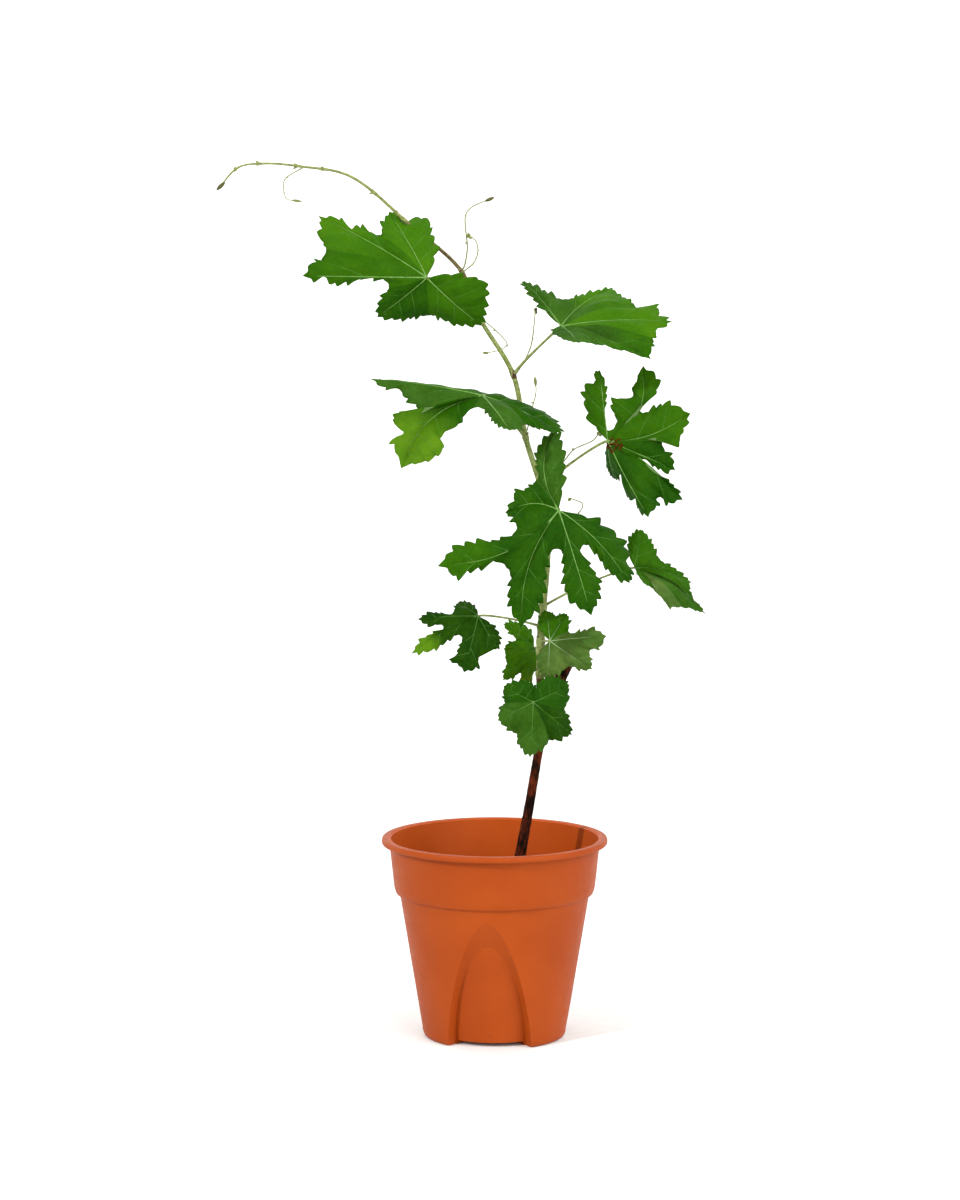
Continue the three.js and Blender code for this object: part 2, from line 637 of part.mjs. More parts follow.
for (const leaf of LEAVES) {
  const lobes = planLeaf(leaf);
  const large = Math.max(...lobes.map((lobe) => lobe.length)) > LARGE_LEAF;
  const corners = lobes.flatMap((lobe) => lobe.halves.flatMap((half) => halfLobe(lobe, half, large)));
  const hub = vec(leaf.hub);
  const blade = thicken(corners.map((p) => p.clone().add(hub)));
  const body = blade.add(makeStalk(leaf, lobes)).subtract(aroundShoot).subtract(aroundCane);
  add(leaf.name, largest(body), materials.leaf);
}

TENDRILS.forEach((points, i) => {
  const root = shootPath.getPointAt(shootAtHeight(points[0][2]));
  const curve = new THREE.CatmullRomCurve3([root, ...points.map(vec)], false, 'centripetal');
  const tail = new THREE.SphereGeometry(BUD_RADIUS, 6, 4).translate(...points[points.length - 1]);
  const thread = limb(curve, 0, 1, () => TENDRIL_RADIUS, TENDRIL_SIDES, TENDRIL_STEPS);
  add(`tendril_${i + 1}`, largest(thread.add(solid(tail)).subtract(aroundShoot)), materials.shoot);
});

export default plant;
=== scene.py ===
import math

import bmesh
import bpy
import numpy as np
from mathutils import Matrix, Vector, noise


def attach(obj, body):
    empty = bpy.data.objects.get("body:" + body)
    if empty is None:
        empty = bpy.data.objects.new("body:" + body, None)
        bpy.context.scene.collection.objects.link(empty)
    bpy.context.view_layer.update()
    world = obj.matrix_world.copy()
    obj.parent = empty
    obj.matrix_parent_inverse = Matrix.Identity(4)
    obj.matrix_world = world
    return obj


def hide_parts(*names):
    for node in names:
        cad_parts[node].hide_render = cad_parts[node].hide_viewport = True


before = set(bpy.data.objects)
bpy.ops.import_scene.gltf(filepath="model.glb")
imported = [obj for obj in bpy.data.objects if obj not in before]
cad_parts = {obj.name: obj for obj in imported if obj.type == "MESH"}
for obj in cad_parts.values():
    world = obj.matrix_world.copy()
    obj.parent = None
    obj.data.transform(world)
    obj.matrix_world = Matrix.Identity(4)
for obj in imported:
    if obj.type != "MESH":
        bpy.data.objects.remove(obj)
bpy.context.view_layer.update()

# The studio: white paper on the floor and up the wall behind, a bright even surround, a small lamp on
# the left, which throws the cutting's shadow on the right of the pot's inside, and a broad one on the
# right. The camera stands 2.3 m off at the photograph's height and looks down a little.
MM = 0.001
PAPER_HALF = 20.0
WALL_AT = 7.0
FLOOR_BELOW = 0.3
SURROUND = 1.0
KEY = {"strength": 2.0, "from": (-0.62, -0.6, 0.56), "spread": 1.5}
FILL = {"strength": 2.6, "from": (0.62, -0.66, 0.4), "spread": 60}
CAMERA_AT = (-0.0097, -2.3, 0.5577)
CAMERA_DOWN = math.radians(6.614)
SENSOR = 36.0
FOCAL_PIXELS = 3517.5
FRAME_HEIGHT_PIXELS = 1200.0


def linear(code):
    """An sRGB hex colour as linear red, green and blue, with full alpha."""
    parts = [int(code[i:i + 2], 16) / 255 for i in (1, 3, 5)]
    return (*[c / 12.92 if c <= 0.04045 else ((c + 0.055) / 1.055) ** 2.4 for c in parts], 1.0)


def add_node(material, kind, links=None, **settings):
    """Adds a node with its settings; each entry of links is a value or another node's output."""
    tree = material.node_tree
    made = tree.nodes.new(kind)
    for name, value in settings.items():
        setattr(made, name, value)
    for name, value in (links or {}).items():
        if isinstance(value, bpy.types.NodeSocket):
            tree.links.new(value, made.inputs[name])
        else:
            made.inputs[name].default_value = value
    return made


def new_material(name):
    """An empty node material, its surface shader and its object coordinates in metres."""
    material = bpy.data.materials.new(name)
    material.use_nodes = True
    shader = material.node_tree.nodes["Principled BSDF"]
    place = add_node(material, "ShaderNodeTexCoord").outputs["Object"]
    return material, shader, place


def grain(material, place, per_metre, detail=2.0, broken=0.5):
    """Soft noise; more detail makes it finer, and a higher broken value more ragged."""
    links = {"Vector": place, "Scale": per_metre, "Detail": detail, "Roughness": broken}
    return add_node(material, "ShaderNodeTexNoise", links).outputs["Fac"]


def two_tones(material, value, low, high, dark, light):
    """Mixes two colours by a value that runs from low to high."""
    ramp = add_node(material, "ShaderNodeValToRGB", {"Fac": value})
    for stop, place, code in zip(ramp.color_ramp.elements, (low, high), (dark, light)):
        stop.position = place
        stop.color = linear(code)
    return ramp.outputs["Color"]


def finish_material(material, shader, colour, relief=None, strength=0.5, depth=0.0003, **constants):
    """Links the colour and the relief to the shader and sets its plain values."""
    material.node_tree.links.new(colour, shader.inputs["Base Color"])
    if relief:
        height = {"Height": relief, "Strength": strength, "Distance": depth}
        bump = add_node(material, "ShaderNodeBump", height)
        material.node_tree.links.new(bump.outputs["Normal"], shader.inputs["Normal"])
    for name, value in constants.items():
        shader.inputs[name.replace("_", " ")].default_value = value
    return material


def mottled(name, per_metre, span, dark, light, detail=2.0, broken=0.5, relief=(), **constants):
    """A material of two tones mixed by noise; relief is the strength and depth of the noise's bumps."""
    material, shader, place = new_material(name)
    value = grain(material, place, per_metre, detail, broken)
    bumps = (value, *relief) if relief else ()
    return finish_material(material, shader, two_tones(material, value, *span, dark, light), *bumps,
                           **constants)


def new_object(name, points, faces, materials, face_materials=None, smooth=True):
    """A mesh object from points in millimetres."""
    mesh = bpy.data.meshes.new(name)
    mesh.from_pydata((np.asarray(points, float) * MM).tolist(), [], [list(map(int, f)) for f in faces])
    for material in materials:
        mesh.materials.append(material)
    if face_materials is not None:
        mesh.polygons.foreach_set("material_index", np.asarray(face_materials, np.int32))
    mesh.polygons.foreach_set("use_smooth", np.full(len(mesh.polygons), smooth))
    mesh.update()
    made = bpy.data.objects.new(name, mesh)
    bpy.context.collection.objects.link(made)
    return made


# Matt white paper: even and without any shine, with a mottle about 11 mm across that hardly shows. Here
# and below, a pattern's scale is its count in a metre.
PAPER_MOTTLE = 90.0
paper = mottled("matt_white_paper", PAPER_MOTTLE, (0.3, 0.7), "#E0E0DE", "#E5E5E3", Roughness=0.95)
far, near = PAPER_HALF / MM, WALL_AT / MM
floor_sheet = [(x, y, -FLOOR_BELOW) for x, y in ((-far, -far), (far, -far), (far, near), (-far, near))]
sheet = [*floor_sheet, (far, near, far), (-far, near, far)]
backdrop = new_object("paper_backdrop", sheet, [(0, 1, 2, 3), (3, 2, 4, 5)], [paper], smooth=False)

world = bpy.data.worlds.new("studio")
world.use_nodes = True
world.node_tree.nodes["Background"].inputs["Color"].default_value = linear("#FFFFFF")
world.node_tree.nodes["Background"].inputs["Strength"].default_value = SURROUND
bpy.context.scene.world = world
bpy.context.scene.view_settings.view_transform = "Standard"


def add_lamp(name, lamp):
    """Parallel light from a direction: the wider its spread in degrees, the softer its shadows."""
    light = bpy.data.lights.new(name, "SUN")
    light.energy = lamp["strength"]
    light.angle = math.radians(lamp["spread"])
    made = bpy.data.objects.new(name, light)
    made.location = lamp["from"]
    made.rotation_euler = Vector(lamp["from"]).to_track_quat("Z", "Y").to_euler()
    bpy.context.collection.objects.link(made)


add_lamp("key_lamp", KEY)
add_lamp("fill_lamp", FILL)

camera_data = bpy.data.cameras.new("camera")
camera_data.sensor_width = SENSOR
camera_data.lens = FOCAL_PIXELS / FRAME_HEIGHT_PIXELS * SENSOR
camera = bpy.data.objects.new("camera", camera_data)
camera.location = CAMERA_AT
camera.rotation_euler = (math.pi / 2 - CAMERA_DOWN, 0, 0)
bpy.context.collection.objects.link(camera)
bpy.context.scene.camera = camera

# The pot: injection-moulded polypropylene in terracotta orange, thin and nearly matt, with a rolled lip,
# a deeper collar and three arched niches pressed in round its foot. Its base has channels that lead from
# the niches to the drain holes, and the mould's gate has left a small mark low in the front niche.
POT_HEIGHT = 133
LIP_RADIUS = 75
LIP_HEIGHT = 4
COLLAR_RADIUS = 69.7
COLLAR_FOOT_RADIUS = 66.7
COLLAR_FOOT_Z = 100
SHOULDER_RADIUS = 62.4
SHOULDER_Z = 92
FOOT_RADIUS = 47.2
FOOT_LINE_Z = 4.2
WALL = 1.8
POT_SIDES = 192
ARCH_COUNT = 3
ARCH_TURN = math.radians(-5)
ARCH = {"foot": 27.5, "top": 87, "lean": 1.6, "round": 0.57}
NICHE = {"foot": 23, "top": 70, "lean": 2, "round": 0.55}
NICHE_RADIUS_TOP = 54
NICHE_RADIUS_FOOT = 38.7
ARCH_STEPS = 64
CHANNEL_HEIGHT = 2.7
CHANNEL_INNER_RADIUS = 17
DRAIN_RADIUS = 4
DRAIN_AT = 28
WEDGE_IN = 2.2
WEDGE_OUT = 1.25
BELOW = 6
OUTER_ROUNDING = 1.4
INNER_ROUNDING = 3
MOST_ROUNDED = 0.45
ROUNDING_STEPS = 13
CHANNEL_STEPS = 25
DRAIN_SIDES = 24
CREASE = math.radians(10)
GATE_MARK = (-3.2, 7.4, 0.55)
MARK_SIDES = 16
MARK_PROUD = 0.05
MARK_DEPTH = 0.6


def keep(piece, slot, *nodes):
    """Every piece rides on the one body and may stand for CAD nodes, which it hides. Its slot is not used.
    """
    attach(piece, "root")
    if nodes:
        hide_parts(*nodes)


def wall_radius(z):
    """The outside of the tapered wall at a height."""
    return FOOT_RADIUS + (SHOULDER_RADIUS - FOOT_RADIUS) * z / SHOULDER_Z


def niche_radius(z):
    """The round back wall of a niche at a height."""
    return NICHE_RADIUS_FOOT + (NICHE_RADIUS_TOP - NICHE_RADIUS_FOOT) * z / NICHE["top"]


def unit(v):
    """A vector of length one."""
    return v / np.linalg.norm(v)


def rounded(profile, radius):
    """Rounds the inner corners of an outline of (r, z) points."""
    out = [profile[0]]
    for before, at, after in zip(profile, profile[1:], profile[2:]):
        before, at, after = (np.array(p, float) for p in (before, at, after))
        back, on = before - at, after - at
        reach = min(radius, MOST_ROUNDED * np.linalg.norm(back), MOST_ROUNDED * np.linalg.norm(on))
        a, b = at + unit(back) * reach, at + unit(on) * reach
        for t in np.linspace(0, 1, ROUNDING_STEPS):
            out.append((1 - t) ** 2 * a + 2 * t * (1 - t) * at + t * t * b)
    return [*out, profile[-1]]


def turned(name, profile, sides):
    """A turned solid whose profile starts and ends on the axis."""
    turn = np.arange(sides) * 2 * math.pi / sides
    rings = profile[1:-1]
    points = [(0, 0, profile[0][1])]
    for r, z in rings:
        points.extend(zip(r * np.sin(turn), -r * np.cos(turn), np.full(sides, z)))
    points.append((0, 0, profile[-1][1]))
    last = len(points) - 1
    faces = []
    for k in range(sides):
        n = (k + 1) % sides
        faces.append((0, 1 + n, 1 + k))
        for j in range(len(rings) - 1):
            a = 1 + j * sides
            faces.append((a + k, a + n, a + sides + n, a + sides + k))
        a = 1 + (len(rings) - 1) * sides
        faces.append((a + k, a + n, last))
    return new_object(name, points, faces, [])


def ring_faces(rings, count):
    """The faces of a closed solid between rings of points that have the same count."""
    faces = []
    for r in range(rings - 1):
        for i in range(count):
            a, b = r * count + i, r * count + (i + 1) % count
            faces.append((a, b, b + count, a + count))
    return [*faces, tuple(reversed(range(count))), tuple(range((rings - 1) * count, rings * count))]


def lofted(name, rings):
    """A closed solid between rings of points."""
    points = [tuple(p) for ring in rings for p in ring]
    return new_object(name, points, ring_faces(len(rings), len(rings[0])), [])


def combine(target, tool, operation):
    """Joins or cuts a solid by another, which is used up."""
    step = target.modifiers.new("cut", "BOOLEAN")
    step.operation = operation
    step.solver = "MANIFOLD"
    step.object = tool
    shape = bpy.data.meshes.new_from_object(target.evaluated_get(bpy.context.evaluated_depsgraph_get()))
    target.modifiers.clear()
    target.data = shape
    bpy.data.objects.remove(tool)
    return target


def arch_point(arch, grow, step):
    """A point on one side of an arch, from its foot at step 0 to its crown."""
    rise = math.sin(step / ARCH_STEPS * math.pi / 2)
    return (arch["foot"] + grow) * (1 - rise ** arch["lean"]) ** arch["round"], (arch["top"] + grow) * rise


def niche_cutter(grow):
    """What one niche cuts away: a wedge that widens outwards, as far in as the niche's round wall."""
    inner, outer = [], []
    for i in range(ARCH_STEPS, -ARCH_STEPS - 1, -1):
        side = (i > 0) - (i < 0)
        niche_x, niche_z = arch_point(NICHE, grow, ARCH_STEPS - abs(i))
        arch_x, arch_z = arch_point(ARCH, grow, ARCH_STEPS - abs(i))
        niche_y = -math.sqrt((niche_radius(niche_z) - grow) ** 2 - niche_x ** 2)
        on_niche = np.array((side * niche_x, niche_y, niche_z))
        on_wall = np.array((side * arch_x, -math.sqrt(wall_radius(arch_z) ** 2 - arch_x ** 2), arch_z))
        inner.append(on_wall + (on_niche - on_wall) * WEDGE_IN)
        outer.append(on_niche + (on_wall - on_niche) * WEDGE_OUT)
    for ring in (inner, outer):
        ring.insert(0, np.array((*ring[0][:2], -BELOW)))
        ring.append(np.array((*ring[-1][:2], -BELOW)))
    beyond = [p - np.array((0, LIP_RADIUS / 2, 0)) for p in outer]
    foot, crown = -2 * BELOW, COLLAR_FOOT_Z
    wall = [(niche_radius(z) - grow, z) for z in (foot, crown)]
    core = turned("core", [(0, foot), *wall, (0, crown)], POT_SIDES)
    return combine(lofted("niche", [inner, outer, beyond]), core, "DIFFERENCE")


def channel_cutter(grow):
    """The channel that runs under the base from a niche towards the middle."""
    half = NICHE["foot"] + grow
    mouth, end = grow - NICHE_RADIUS_FOOT, grow - CHANNEL_INNER_RADIUS
    outline = [(-half, -LIP_RADIUS), (half, -LIP_RADIUS), (half, mouth)]
    for t in np.linspace(0, math.pi, CHANNEL_STEPS)[1:-1]:
        outline.append((half * math.cos(t), mouth + (end - mouth) * math.sin(t)))
    outline.append((-half, mouth))
    return lofted("channel", [[(x, y, z) for x, y in outline] for z in (-BELOW, CHANNEL_HEIGHT + grow)])


def drain_cutter():
    """A drain hole through the top of a channel."""
    turn = np.linspace(0, 2 * math.pi, DRAIN_SIDES, endpoint=False)
    ring = [(DRAIN_RADIUS * math.cos(t), DRAIN_RADIUS * math.sin(t) - DRAIN_AT) for t in turn]
    return lofted("drain", [[(x, y, z) for x, y in ring] for z in (-BELOW, 2 * BELOW)])


def cut_round_pot(target, cutters):
    """Cuts a solid by each cutter at each niche's place round the pot."""
    for i in range(ARCH_COUNT):
        for cutter in cutters:
            tool = cutter()
            tool.data.transform(Matrix.Rotation(ARCH_TURN + i * 2 * math.pi / ARCH_COUNT, 4, "Z"))
            combine(target, tool, "DIFFERENCE")


# The outside from the base up: the foot and the fine line round it, the wall, the step at the shoulder,
# the collar and the rolled lip. The inside follows it a wall's thickness further in.
lip_foot = POT_HEIGHT - LIP_HEIGHT
outside = rounded([
    (0, 0),
    (FOOT_RADIUS - 0.4, 0),
    (wall_radius(FOOT_LINE_Z) + 0.25, FOOT_LINE_Z),
    (wall_radius(FOOT_LINE_Z), FOOT_LINE_Z + 0.25),
    (SHOULDER_RADIUS, SHOULDER_Z),
    (SHOULDER_RADIUS + 0.6, COLLAR_FOOT_Z - 4.6),
    (COLLAR_FOOT_RADIUS - 1.2, COLLAR_FOOT_Z - 3.9),
    (COLLAR_FOOT_RADIUS, COLLAR_FOOT_Z),
    (COLLAR_RADIUS, lip_foot - 1),
    (COLLAR_RADIUS + 0.8, lip_foot),
    (LIP_RADIUS - 0.3, lip_foot),
    (LIP_RADIUS, lip_foot + 2),
    (LIP_RADIUS - 0.6, POT_HEIGHT),
    (COLLAR_RADIUS + 0.6, POT_HEIGHT),
    (COLLAR_RADIUS - 0.4, POT_HEIGHT - 0.8),
    (0, POT_HEIGHT - 0.8),
], OUTER_ROUNDING)
inside = rounded([
    (0, WALL),
    (FOOT_RADIUS - WALL, WALL),
    (SHOULDER_RADIUS - WALL, SHOULDER_Z),
    (COLLAR_FOOT_RADIUS - WALL, COLLAR_FOOT_Z - 1),
    (COLLAR_RADIUS - WALL + 0.4, POT_HEIGHT - 6),
    (COLLAR_RADIUS - WALL + 1.5, POT_HEIGHT + BELOW),
    (0, POT_HEIGHT + BELOW),
], INNER_ROUNDING)
pot = turned("pot_shell", outside, POT_SIDES)
hollow = turned("hollow", inside, POT_SIDES)
cut_round_pot(hollow, [lambda: niche_cutter(WALL), lambda: channel_cutter(WALL)])
combine(pot, hollow, "DIFFERENCE")
cut_round_pot(pot, [lambda: niche_cutter(0), lambda: channel_cutter(0), drain_cutter])


# Flow clouds 45 mm across, scuffs of 6 mm and a moulded grain of 0.7 mm, which is drawn coarser than the
# real one so that it shows.
FLOW_CLOUDS = 22.0
SCUFFS = 160.0
MOULD_GRAIN = 1400.0
PLASTIC_ROUGHNESS = (0.42, 0.6)
PLASTIC_IOR = 1.49


def polypropylene(name, dark, light):
    """Moulded plastic: a fine grain that scatters most of its shine, an even colour with faint flow
    clouds, and dull scuffs that handling has left."""
    material, shader, place = new_material(name)
    orange = two_tones(material, grain(material, place, FLOW_CLOUDS, 4.0), 0.3, 0.75, dark, light)
    scuffs = grain(material, place, SCUFFS, 8.0, 0.7)
    smooth, rough = PLASTIC_ROUGHNESS
    limits = {"From Min": 0.35, "From Max": 0.75, "To Min": smooth, "To Max": rough}
    dull = add_node(material, "ShaderNodeMapRange", {"Value": scuffs, **limits})
    material.node_tree.links.new(dull.outputs["Result"], shader.inputs["Roughness"])
    shine = {"IOR": PLASTIC_IOR, "Specular_IOR_Level": 0.1}
    bumps = grain(material, place, MOULD_GRAIN)
    return finish_material(material, shader, orange, bumps, 0.12, 0.0002, **shine)


# Some daylight comes through the thin wall, so its inside is painted a warmer and lighter orange: painted
# light.
plastic = polypropylene("terracotta_polypropylene", "#8D380A", "#97400F")
painted_light_inside = polypropylene("terracotta_polypropylene_lit_through", "#9A3D0A", "#A5460F")
pot.data.materials.clear()
pot.data.materials.append(plastic)
pot.data.materials.append(painted_light_inside)
# The faces that look inwards above the shoulder take the painted light.
for face in pot.data.polygons:
    face.material_index = int(face.normal.xy.dot(face.center.xy) < 0 and face.center.z > SHOULDER_Z * MM)
pot.data.polygons.foreach_set("use_smooth", np.full(len(pot.data.polygons), True))
pot.data.set_sharp_from_angle(angle=CREASE)
keep(pot, "pot", "pot")

# The gate mark: a dot of darker, slightly burnt plastic that stands just proud of the niche's wall.
MARK_SPECKLE = 3000.0
mark_x, mark_z, mark_radius = GATE_MARK
mark_turn = np.linspace(0, 2 * math.pi, MARK_SIDES, endpoint=False)
mark_y = -math.sqrt(niche_radius(mark_z) ** 2 - mark_x ** 2)
mark = [(mark_x + mark_radius * math.cos(t), mark_y - MARK_PROUD, mark_z + mark_radius * math.sin(t))
        for t in mark_turn]
mark_back = [(x, y + MARK_DEPTH, z) for x, y, z in mark]
burnt = mottled("gate_mark", MARK_SPECKLE, (0.4, 0.6), "#4A1C06", "#6A2C0C", Roughness=0.5)
gate = lofted("pot_gate_mark", [mark_back, mark])
gate.data.materials.append(burnt)
keep(gate, "pot")

# The potting mix: peat and bark crumbs in a shallow heap, firmed round the cutting, with a few pale
# grains of perlite. It lies out of sight below the lip from the front.
SOIL_Z = 100
SOIL_GAP = 0.6
SOIL_RADIUS = COLLAR_FOOT_RADIUS - WALL - SOIL_GAP
SOIL_RINGS = 60
SOIL_SPOKES = 150
HEAP = {"seed": 3, "per_mm": 0.12, "noise": (0.7, 2.0, 5), "height": 1.6, "down": 1.2, "edge": 4}
CRUMBS = 1100
CRUMB_SIZES = (0.5, 1.7)
CRUMB_CORNERS = (0.5, 1.2)
CRUMB_MARGIN = 3
CRUMB_SUNK = 0.6
CRUMB_STANDS = 0.3
PERLITE_SHARE = 0.08
random = np.random.default_rng(7)

# Damp peat: near black in the hollows and brown on the crumbs, and rough enough to show no shine. Its
# lumps are 4.5 mm across.
PEAT_LUMPS = 220.0
soil_mix = mottled("peat_potting_mix", PEAT_LUMPS, (0.35, 0.7), "#1A110A", "#4E3626", detail=10.0,
                   broken=0.7, relief=(0.8, 0.001), Roughness=0.95)
# Perlite: chalky white grains with pits of a millimetre, which light up the dark mix here and there.
PERLITE_PITS = 900.0
perlite = mottled("perlite_grain", PERLITE_PITS, (0.35, 0.65), "#9C9484", "#C8C2B4",
                  relief=(0.6, 0.0004), Roughness=0.9)

points = []
for j in range(SOIL_RINGS + 1):
    r = SOIL_RADIUS * j / SOIL_RINGS
    for k in range(SOIL_SPOKES):
        t = 2 * math.pi * k / SOIL_SPOKES
        x, y = r * math.cos(t), r * math.sin(t)
        bump = noise.fractal(Vector((x, y, HEAP["seed"])) * HEAP["per_mm"], *HEAP["noise"]) * HEAP["height"]
        flat_edge = min(1, (SOIL_RADIUS - r) / HEAP["edge"])
        points.append((x, y, SOIL_Z - HEAP["down"] + bump * flat_edge))
faces = []
for j in range(SOIL_RINGS):
    for k in range(SOIL_SPOKES):
        a, b = j * SOIL_SPOKES + k, j * SOIL_SPOKES + (k + 1) % SOIL_SPOKES
        faces.append((a, a + SOIL_SPOKES, b + SOIL_SPOKES, b))
soil = new_object("soil_surface", points, faces, [soil_mix])
keep(soil, "soil", "soil")

cube = np.array([(x, y, z) for x in (-1, 1) for y in (-1, 1) for z in (-1, 1)], float)
cube_faces = [(0, 1, 3, 2), (4, 6, 7, 5), (0, 4, 5, 1), (2, 3, 7, 6), (0, 2, 6, 4), (1, 5, 7, 3)]
points, faces, kinds = [], [], []
for _ in range(CRUMBS):
    r, t = (SOIL_RADIUS - CRUMB_MARGIN) * math.sqrt(random.random()), random.random() * 2 * math.pi
    size = random.uniform(*CRUMB_SIZES)
    corners = cube * random.uniform(*CRUMB_CORNERS, (8, 3)) * size
    spin = np.linalg.qr(random.normal(size=(3, 3)))[0]
    height = SOIL_Z - CRUMB_SUNK + CRUMB_STANDS * size
    centre = np.array((r * math.cos(t), r * math.sin(t), height))
    first = len(points)
    points.extend(corners @ spin.T + centre)
    faces.extend(tuple(first + i for i in f) for f in cube_faces)
    kinds.extend([int(random.random() < PERLITE_SHARE)] * 6)
crumbs = new_object("soil_crumbs", points, faces, [soil_mix, perlite], kinds, smooth=False)
keep(crumbs, "soil")

# The cutting: a leaning length of one-year cane with dark mottled bark that cracks along its length,
# swollen at its top joint, where the shoot springs out, and cut off square above it.
CANE_PATH = [
    (13, 4, 97), (16.8, 4, 118.5), (23.1, 3, 153.7), (29.7, 1, 193.7), (34.4, 0, 217), (47.7, 2, 248.3),
]
CANE_RADII = [3.7, 3.5, 3.1, 2.9, 3.6, 4.1]
CANE_STEPS = 320
CANE_SIDES = 40
CANE_IN_SOIL = 2.5
CANE_JOINT = (34.4, 0, 217)
JOINT_SWELL = 0.16
JOINT_REACH = 5
CRACKS = {"round": 2.2, "along": 9, "finer": 2.4, "noise": (0.8, 2.0, 4), "depth": 0.07}
SCALES = {"round": 7, "along": 30, "depth": 0.03}
CUT_EDGE = math.radians(60)
CURVE_STEPS = 60


def smooth_path(path, count):
    """Even points along a centripetal Catmull-Rom curve through a path, and its length."""
    p = np.array(path, float)
    p = np.vstack([2 * p[0] - p[1], p, 2 * p[-1] - p[-2]])
    dense = []
    for p0, p1, p2, p3 in zip(p, p[1:], p[2:], p[3:]):
        d0, d1, d2 = (max(np.linalg.norm(b - a) ** 0.5, 1e-4) for a, b in ((p0, p1), (p1, p2), (p2, p3)))
        t1 = ((p1 - p0) / d0 - (p2 - p0) / (d0 + d1) + (p2 - p1) / d1) * d1
        t2 = ((p2 - p1) / d1 - (p3 - p1) / (d1 + d2) + (p3 - p2) / d2) * d1
        t = np.linspace(0, 1, CURVE_STEPS, endpoint=False)[:, None]
        bend, twist = 3 * (p2 - p1) - 2 * t1 - t2, 2 * (p1 - p2) + t1 + t2
        dense.append(p1 + t1 * t + bend * t ** 2 + twist * t ** 3)
    dense = np.vstack([*dense, p[-2:-1]])
    along = np.concatenate([[0], np.cumsum(np.linalg.norm(np.diff(dense, axis=0), axis=1))])
    at = np.linspace(0, along[-1], count)
    return np.stack([np.interp(at, along, dense[:, k]) for k in range(3)], axis=1), along[-1]


def unit_rows(v):
    """Each row as a vector of length one."""
    return v / np.linalg.norm(v, axis=1)[:, None]


def tube(path, radii, sides, relief=None):
    """A tube round a path: its points and faces. relief(share, turn) scales the radius."""
    ahead = unit_rows(np.gradient(path, axis=0))
    across = np.array((0.0, 1.0, 0.0))
    turn = np.arange(sides) * 2 * math.pi / sides
    points = []
    for i, (centre, way) in enumerate(zip(path, ahead)):
        across = unit(across - way * across.dot(way))
        upward = np.cross(way, across)
        r = radii[i] * (relief(i / (len(path) - 1), turn) if relief else np.ones(sides))
        circle = np.cos(turn)[:, None] * across + np.sin(turn)[:, None] * upward
        points.extend(centre + r[:, None] * circle)
    return points, ring_faces(len(path), sides)


def bark_relief(share, turn):
    """Long cracks and low scales in the bark."""
    out = []
    for t in turn:
        x, y = math.cos(t), math.sin(t)
        in_crack = Vector((x * CRACKS["round"], y * CRACKS["round"], share * CRACKS["along"]))
        in_scale = Vector((x * SCALES["round"], y * SCALES["round"], share * SCALES["along"]))
        crack = CRACKS["depth"] * noise.fractal(in_crack * CRACKS["finer"], *CRACKS["noise"])
        out.append(1 + crack + SCALES["depth"] * noise.noise(in_scale))
    return np.array(out)


cane_points, _ = smooth_path(CANE_PATH, CANE_STEPS)
cane_points = cane_points[cane_points[:, 2] > SOIL_Z - CANE_IN_SOIL]
share = np.linspace(0, 1, len(cane_points))
cane_radii = np.interp(share, np.linspace(0, 1, len(CANE_RADII)), CANE_RADII)
from_joint = np.linalg.norm(cane_points - np.array(CANE_JOINT), axis=1)
cane_radii = cane_radii * (1 + JOINT_SWELL * np.exp(-(from_joint / JOINT_REACH) ** 2))

# Bark: nearly black and dry, with rusty streaks 1.4 mm wide that are drawn out along the cane and broken
# into patches of 17 mm.
STREAKS = 700.0
STREAK_DRAW = (1.0, 1.0, 0.25)
PATCHES = 60.0
bark, shader, place = new_material("dark_vine_bark")
stretch = add_node(bark, "ShaderNodeMapping", {"Vector": place, "Scale": STREAK_DRAW})
stripes = grain(bark, stretch.outputs["Vector"], STREAKS, 8.0, 0.7)
patches = grain(bark, place, PATCHES, 3.0)
mottle = add_node(bark, "ShaderNodeMath", {0: stripes, 1: patches}, operation="MULTIPLY")
brown = two_tones(bark, mottle.outputs["Value"], 0.2, 0.34, "#100602", "#5A220E")
dry = {"Roughness": 0.85, "Specular_IOR_Level": 0.06}
finish_material(bark, shader, brown, stripes, 0.7, 0.0006, **dry)

# Cut wood: dry and pale brown, with darker pores about a millimetre apart, coarser than the real ones.
PORES = 900.0
cut_wood = mottled("cut_vine_wood", PORES, (0.3, 0.7), "#5E3020", "#96684C", detail=4.0,
                   relief=(0.5, 0.0004), Roughness=0.85)

points, faces = tube(cane_points, cane_radii, CANE_SIDES, bark_relief)
cane = new_object("cane_bark", points, faces, [bark, cut_wood], [0] * (len(faces) - 1) + [1])
cane.data.set_sharp_from_angle(angle=CUT_EDGE)
keep(cane, "cane", "cane")

# The green shoot: this year's growth, ribbed and slightly furry, thick and reddish where it leaves the
# cutting, green above, then thin and brownish, and olive at its folded tip. It has a knot at every leaf,
# brown on the right at the two highest leaves, and small buds and scale leaves stand on its thin end.
SHOOT_PATH = [
    (35, -1, 218), (30.5, -5, 232), (30, -5.5, 248), (30.6, -4, 275), (34.3, 0, 317), (34.4, 2, 344),
    (30.3, 3, 365), (20, 0, 398.5), (12, 2, 439), (-9.7, 4, 476), (-21.5, 2, 506), (-54.5, -3, 536),
    (-93.8, -10, 568), (-123.8, -16, 574), (-148.7, -20, 576), (-165, -22, 573.5), (-177.3, -26, 560.5),
]
SHOOT_BASE_RADIUS = 2.9
SHOOT_TIP_RADIUS = 0.55
SHOOT_TAPER = 0.8
SHOOT_RISING = 0.8
SHOOT_STEPS = 900
SHOOT_SIDES = 16
RIBS = 5
RIB_HEIGHT = 0.04
RIB_TWIST = 6
KNOT_SWELL = 0.28
KNOT_REACH = 2.2
